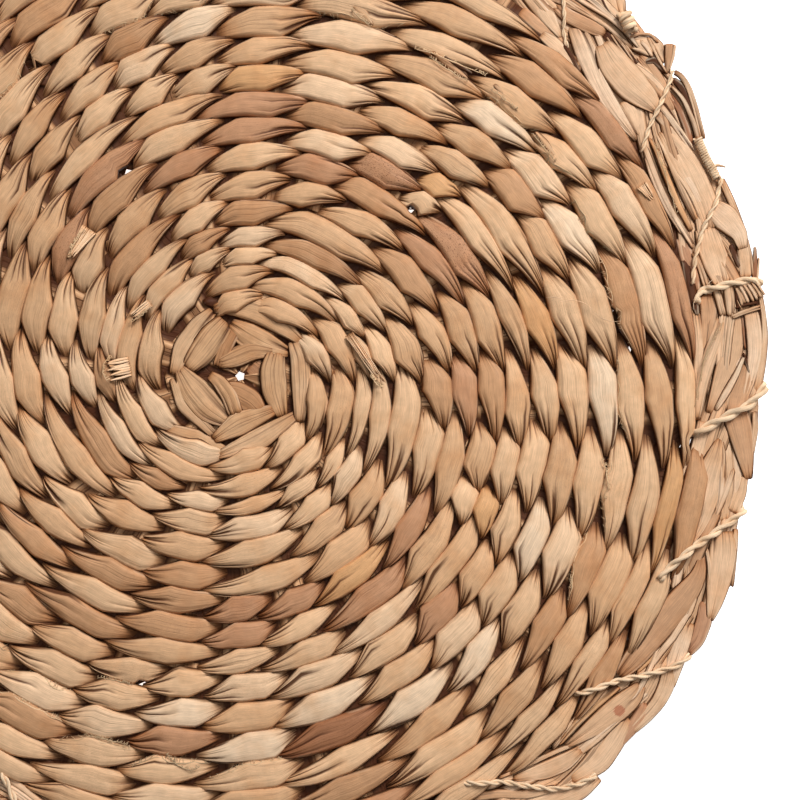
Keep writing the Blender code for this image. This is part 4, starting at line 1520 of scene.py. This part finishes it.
def resting_height(x, y):
    """The highest leaf under a picture point, in mm."""
    place = Vector(from_picture(x, y, RAY_HEIGHT) * MM)
    hits = [tree.ray_cast(place, Vector((0.0, 0.0, -1.0)))[0] for tree in leaf_trees]
    return max((hit.z / MM for hit in hits if hit and hit.z / MM > LOWEST_LEAF), default=BARE_HEIGHT)


def over_points(over):
    """The top of a stitch in mm, resting on what lies below it."""
    x, y = spread_route(over.route, OVER_ROWS)
    ground = np.array([resting_height(*place) for place in zip(x, y)])
    level = np.maximum.reduce([np.roll(ground, shift) for shift in (-2, -1, 0, 1, 2)])
    level[:2], level[-2:] = ground[:2], ground[-2:]
    height = soften(level, 6) + over.half * POINT * TWINE_BEND
    height[0], height[-1] = min(height[0], OUTER_TOP), min(height[-1], INNER_TOP)
    return from_picture(x, y, height)


def under_points(start, end):
    """The way back below the rim, from the seam to the next stitch's outer edge."""
    low = np.array([[*start[:2], TWINE_BOTTOM], [*end[:2], TWINE_BOTTOM]])
    low[1, :2] *= EDGE_SHARE
    corners = np.array([start, [*start[:2], SEAM_END], low[0], low[1], [*end[:2], EDGE_END], end])
    covered = np.cumsum(steps_along(corners))
    even = np.linspace(0.0, covered[-1], UNDER_ROWS + 2)[1:-1]
    return np.stack([soften(np.interp(even, covered, values), 1) for values in corners.T], axis=-1)


tops = [over_points(over) for over in overs]
lengths, halves = [], []
for index, over in enumerate(overs):
    following = (index + 1) % len(overs)
    lengths += [tops[index], under_points(tops[index][-1], tops[following][0])]
    halves += [np.full(OVER_ROWS, over.half), np.linspace(over.half, overs[following].half, UNDER_ROWS)]
twine_half = np.concatenate(halves) * POINT
twine_route = np.stack([soften(values, 3) for values in np.concatenate(lengths).T], axis=-1)
print("twine, mm:", round(steps_along(twine_route).sum()))

# %% Twist the two plies
PLY_COLUMNS = 10
# radius of a ply and length of one twist, in half widths of the twine
PLY_SHARE = 0.54
TWIST_LENGTH = 9.0
PLY_MASTER = model_master(OVER_ROWS + UNDER_ROWS, PLY_COLUMNS)
TWINE_TONE = linear(240, 208, 172)


def carried_frame(route):
    """Two directions square to a route at every point, turned as little as possible."""
    run = np.gradient(route, axis=0)
    run /= np.linalg.norm(run, axis=1)[:, None]
    first = np.empty_like(run)
    side = np.cross(run[0], [0.0, 0.0, 1.0])
    for index, direction in enumerate(run):
        side = side - direction * side.dot(direction)
        side /= np.linalg.norm(side)
        first[index] = side
    return first, np.cross(run, first)


def rings(first, second, columns):
    """Directions out of a tube, by row and column, from two that are square to its route."""
    lap = lap_angles(columns)
    return np.cos(lap)[None, :, None] * first[:, None, :] + np.sin(lap)[None, :, None] * second[:, None, :]


def lay_plies(bundle, route, half, tint, dice, plies=2, share=PLY_SHARE):
    """Twists plies round a route given in mm and lays them in lengths of one stitch."""
    first, second = carried_frame(route)
    ring, lap = rings(first, second, PLY_COLUMNS), lap_angles(PLY_COLUMNS)[None, :]
    steps = steps_along(route)
    turn = np.cumsum(steps / (TWIST_LENGTH * half)) * math.tau
    for ply in range(plies):
        phase = (turn + math.tau * ply / plies)[:, None]
        middle = route + ((1.0 - share) * half)[:, None] * (np.cos(phase) * first + np.sin(phase) * second)
        radius = share * half * (1.0 + soften(dice.normal(0.0, 0.08, len(route)), 2))
        points = middle[:, None, :] + radius[:, None, None] * ring
        # painted shade on the side of each ply that faces the middle of the twine
        crease = 0.3 * ramp(-np.cos(lap - phase), 0.45, 0.95)
        grain = np.zeros((*crease.shape, 3))
        grain[..., 0] = np.cumsum(steps)[:, None]
        grain[..., 1] = (lap - 0.5 * phase) * 0.9
        for start in range(0, len(route) - PLY_MASTER.rows + 1, PLY_MASTER.rows):
            cut = slice(start, start + PLY_MASTER.rows)
            bundle.lay(PLY_MASTER, points[cut], grain[cut], crease[cut], tint * dice.uniform(0.96, 1.04))


TWINE_FINISH = leaf_finish("twisted_fibre", streak=0.16, relief=0.3, roughness=0.7)
twine = Bundle("sewing_twine")
lay_plies(twine, twine_route, twine_half, TWINE_TONE, dice)
print("lengths of ply:", len(twine.places))

# %% [markdown]
# ## The wound thread
# At two places of the rim a thin thread is wound round a bundle of leaves, turn beside turn. It is
# the twine's own fibre, so it is one ply whose route is a coil round the middle of the bundle.

# %% Thread wound round a bundle
# picture points and height of a bundle's middle, its half width, the thread's share, pitch and lengths
Coil = namedtuple("Coil", "route height half share pitch lengths")
COILS = (
    Coil(((624, 12), (628, 21), (631, 31)), 7.4, 8.0, 0.35, 0.7, 1),
    Coil(((698.5, 137), (704, 150), (709, 161), (714.5, 170), (718, 178)), 6.1, 4.9, 0.25, 0.5, 4),
)
THREAD_SHADE = 0.92


def wound(route, half, share, pitch):
    """The middle line of a thread that is wound round a route, and its half width."""
    first, second = carried_frame(route)
    turn = np.cumsum(steps_along(route) / (pitch * half))[:, None] * math.tau
    thread = route + (1.0 - share) * half * (np.cos(turn) * first + np.sin(turn) * second)
    return thread, np.full(len(route), share * half)


for coil in COILS:
    x, y = spread_route(coil.route, PLY_MASTER.rows * coil.lengths)
    thread, half = wound(from_picture(x, y, coil.height), coil.half * POINT, coil.share, coil.pitch)
    lay_plies(twine, thread, half, TWINE_TONE * THREAD_SHADE, dice, plies=1, share=1.0)
twine.finish(TWINE_FINISH, "twine", "binding_twine")

# %% [markdown]
# ## Torn edges and loose fibres
# Where a leaf was torn along its length its edge is frayed: a thin pale thread runs beside it, tied
# to it by short cross fibres, like the rungs of a ladder. A few flaps, broken ends and hairs stand off
# the weave. A broken end is split lengthwise, so it is a few narrow strips side by side.

# %% Torn flaps
TORN_FLAPS = (
    Leaf(((430, 50), (446, 61), (460, 71), (470, 79)), (2, 5, 5, 1), 1.0, "dark", 1),
    # the deep strip is a dark sheet beside the flap, as painted shade under it
    Leaf(((442, 54), (458, 65), (473, 73)), (1, 3, 1), 0.9, "deep", 0),
    Leaf(((351, 5), (363, 13), (374, 25)), (3, 6, 1), 1.0, "mid", 1),
    Leaf(((493, 83), (507, 95), (521, 108)), (2, 4, 1), 0.8, "dark", 1),
    Leaf(((535, 130), (546, 143), (558, 159)), (2, 4, 1), 0.9, "mid", 1),
)
FLAP_BASE = 7.0
flaps = Bundle("torn_flaps")
for leaf in TORN_FLAPS:
    lay_seen_leaf(flaps, leaf, FLAP_BASE, dice, 1.0)
print("torn flaps:", len(TORN_FLAPS))

# %% Broken ends of leaves
# the hidden and the free end, half the width, its share at the free end and the height in mm
BrokenEnd = namedtuple("BrokenEnd", "root tip half share height")
BROKEN_ENDS = (
    BrokenEnd((90, 228), (67, 261), 7.5, 0.25, 8.5),
    BrokenEnd((151, 302), (131, 318), 4.0, 0.7, 8.3),
    BrokenEnd((131, 366), (107, 371), 8.5, 1.0, 8.2),
    BrokenEnd((348, 333), (382, 383), 4.0, 0.8, 8.7),
    BrokenEnd((641, 184), (653, 200), 5.5, 0.5, 8.1),
)
SPLITS = 8
# the narrow strips are wider than their room, so that they overlap
SPLIT_FILL = 1.5
SPLIT_SHADE = np.array([1.22, 1.17, 1.12])


def lay_broken_end(bundle, broken, dice):
    """Narrow strips side by side, from the hidden end to free ends of their own."""
    root, tip = np.array(broken.root, dtype=float), np.array(broken.tip, dtype=float)
    square = np.array([root[1] - tip[1], tip[0] - root[0]]) / np.linalg.norm(tip - root)
    half = SPLIT_FILL * broken.half / SPLITS
    for place in np.linspace(-1.0, 1.0, SPLITS):
        first = root + square * place * broken.half
        last = tip + square * (place + dice.uniform(-0.25, 0.25)) * broken.half * broken.share
        last = first + (last - first) * dice.uniform(0.75, 1.08)
        middle = 0.5 * (first + last) + square * dice.uniform(-1.0, 1.0)
        level, tone = dice.uniform(-0.3, 0.5), ("pale", "straw")[dice.integers(2)]
        split = Leaf((first, middle, last), (half, 1.1 * half, 0.6 * half), level, tone, 0)
        lay_seen_leaf(bundle, split, broken.height, dice, SPLIT_SHADE, gather=(0.0, 0.0))


for broken in BROKEN_ENDS:
    lay_broken_end(flaps, broken, dice)
flaps.finish(LEAF_FINISH, "leaf_strip")

# %% Torn edges
# picture points of a torn edge outside the regular ones, and its height in mm
Tear = namedtuple("Tear", "route height")
TEARS = (
    Tear(((414, 45), (432, 51), (452, 59), (472, 66), (489, 74)), 8.0),
    Tear(((430, 54), (445, 65), (458, 73), (469, 81)), 8.0),
    Tear(((352, 7), (361, 15), (373, 26)), 8.0),
    Tear(((492, 86), (505, 97), (520, 109)), 7.9),
    Tear(((533, 131), (545, 145), (558, 160)), 8.0),
    Tear(((97, 675), (115, 678), (133, 683)), 7.2),
    Tear(((83, 732), (105, 737), (129, 743)), 7.2),
    Tear(((167, 752), (178, 763), (190, 768), (200, 764)), 7.6),
    Tear(((655, 136), (664, 160), (671, 186), (680, 214)), 7.2),
    Tear(((727, 320), (716, 339), (707, 360), (701, 386), (697, 410)), 7.1),
    Tear(((603, 456), (609, 470), (611, 486), (606, 500)), 8.0),
    Tear(((113, 357), (106, 364), (105, 373), (111, 380)), 8.6),
    Tear(((68, 258), (70, 246), (78, 234), (86, 227)), 9.0),
    Tear(((130, 320), (137, 316), (146, 309)), 8.7),
    Tear(((372, 373), (378, 382), (384, 386)), 9.0),
    Tear(((70, 253), (78, 243), (91, 229)), 8.0),
    Tear(((640, 184), (646, 190), (654, 198)), 7.0),
)
print("torn edges:", len(TEARS), "and", len(frayed_edges), "along the stitches")

# %% Hairs
# picture points of a hair, its height in mm and its tone
Hair = namedtuple("Hair", "route height tone")
HAIRS = (
    Hair(((559, 302), (572, 300), (584, 303), (592, 309)), 9.0, "pale"),
    Hair(((592, 311), (601, 318), (611, 322), (621, 321)), 8.6, "pale"),
    Hair(((545, 298), (553, 297), (562, 299)), 8.8, "pale"),
    Hair(((347, 339), (358, 352), (371, 368), (383, 383)), 8.9, "straw"),
    Hair(((352, 338), (362, 353), (374, 370)), 8.8, "straw"),
    Hair(((630, 13), (630, 8), (632, 3)), 7.6, "straw"),
    Hair(((705, 287), (708, 283), (712, 280)), 9.6, "straw"),
    Hair(((695, 299), (693, 304), (693, 310)), 8.6, "straw"),
    Hair(((760, 289), (764, 293), (768, 298)), 8.0, "tan"),
    Hair(((757, 289), (763, 296), (766, 303)), 8.2, "tan"),
    Hair(((737, 300), (739, 305), (742, 309)), 8.2, "tan"),
    Hair(((668, 41), (664, 45), (660, 52)), 8.0, "tan"),
)
print("hairs:", len(HAIRS))

# %% One fibre, and the fray beside a torn edge
FIBRE_MASTER = model_master(6, 4)
THREAD_MASTER = model_master(20, 4)
FIBRE_TONE = linear(238, 203, 160)
# in mm
FIBRE_HALF = 0.1
THREAD_HALF = 0.19
RUNG_BOW = 0.25
THIN_END = 0.6
RUNGS = 24


def lay_fibre(bundle, master, route, half, tint, dice):
    """One thin fibre along points in mm, thickest in the middle."""
    thick = half * (1.0 - THIN_END * np.abs(np.linspace(-1.0, 1.0, master.rows)))
    points = route[:, None, :] + thick[:, None, None] * rings(*carried_frame(route), master.columns)
    grain = np.full(points.shape, dice.uniform(0.0, LEAF_LENGTH))
    bundle.lay(master, points, grain, np.zeros(points.shape[:2]), tint)


def at_rows(line, rows):
    """Points of a line at fractional rows."""
    return np.stack([np.interp(rows, np.arange(len(line)), values) for values in line.T], axis=-1)


def thread_beside(edge, dice):
    """A thread that wanders beside a torn edge, and the edge itself, by the thread's rows."""
    rows = np.linspace(0.0, len(edge) - 1.0, THREAD_MASTER.rows)
    inside, border = at_rows(edge[:, 0], rows), at_rows(edge[:, -1], rows)
    share = np.clip(0.35 + soften(dice.uniform(-0.5, 0.5, len(rows)), 1), 0.0, 0.8)[:, None]
    thread = inside + share * (at_rows(edge[:, -2], rows) - inside)
    thread[:, 2] += 0.12 + soften(dice.uniform(-0.05, 0.15, len(rows)), 1)
    border[:, 2] = np.maximum(border[:, 2], thread[:, 2] - 0.9)
    return thread, border


def lay_rung(bundle, thread, border, tint, dice):
    """A short fibre from a torn edge over the thread beside it."""
    last = THREAD_MASTER.rows - 1.0
    row = dice.uniform(0.0, last, 1)
    other = np.clip(row + dice.normal(0.0, 0.8), 0.0, last)
    start, end = at_rows(border, row)[0], at_rows(thread, other)[0]
    reach = np.linspace(dice.uniform(-0.2, 0.1), dice.uniform(0.7, 1.3), FIBRE_MASTER.rows)
    rung = start + (end - start) * reach[:, None]
    rung[:, 2] += RUNG_BOW * np.sin(np.clip(reach, 0.0, 1.0) * math.pi)
    rung[:, :2] += soften(dice.normal(0.0, 0.1, FIBRE_MASTER.rows))[:, None]
    lay_fibre(bundle, FIBRE_MASTER, rung, FIBRE_HALF, tint * dice.uniform(0.85, 1.15), dice)


def fray(bundle, edge, dice):
    """A thread beside a torn edge, with fibres across. edge holds points by row and column."""
    thread, border = thread_beside(edge, dice)
    tone = FIBRE_TONE * dice.uniform(0.55, 0.95)
    lay_fibre(bundle, THREAD_MASTER, thread, THREAD_HALF, tone, dice)
    for _ in range(RUNGS):
        lay_rung(bundle, thread, border, tone, dice)


print("rows of a fibre:", FIBRE_MASTER.rows, "and of a thread:", THREAD_MASTER.rows)

# %% Lay the loose fibres
# in mm: lines beside a torn edge that stand for its leaf, and how far a hair bows up
TEAR_SHIFTS = (-0.9, -0.3, 0.0)
HAIR_BOW = 0.3


def table_line(route, height):
    """A line of a table as points in mm."""
    return from_picture(*spread_route(route, THREAD_MASTER.rows), height)


loose = Bundle("loose_fibres")
for edge in frayed_edges:
    fray(loose, edge, dice)
for tear in TEARS:
    line = table_line(tear.route, tear.height)
    beside, _ = leaning(line, 0.0)
    fray(loose, np.stack([line + shift * beside for shift in TEAR_SHIFTS], axis=1), dice)
bow = HAIR_BOW * np.sin(np.linspace(0.0, math.pi, THREAD_MASTER.rows))
for hair in HAIRS:
    line = table_line(hair.route, hair.height + bow)
    lay_fibre(loose, THREAD_MASTER, line, FIBRE_HALF, TONES[hair.tone], dice)
loose.finish(LEAF_FINISH, "leaf_strip")
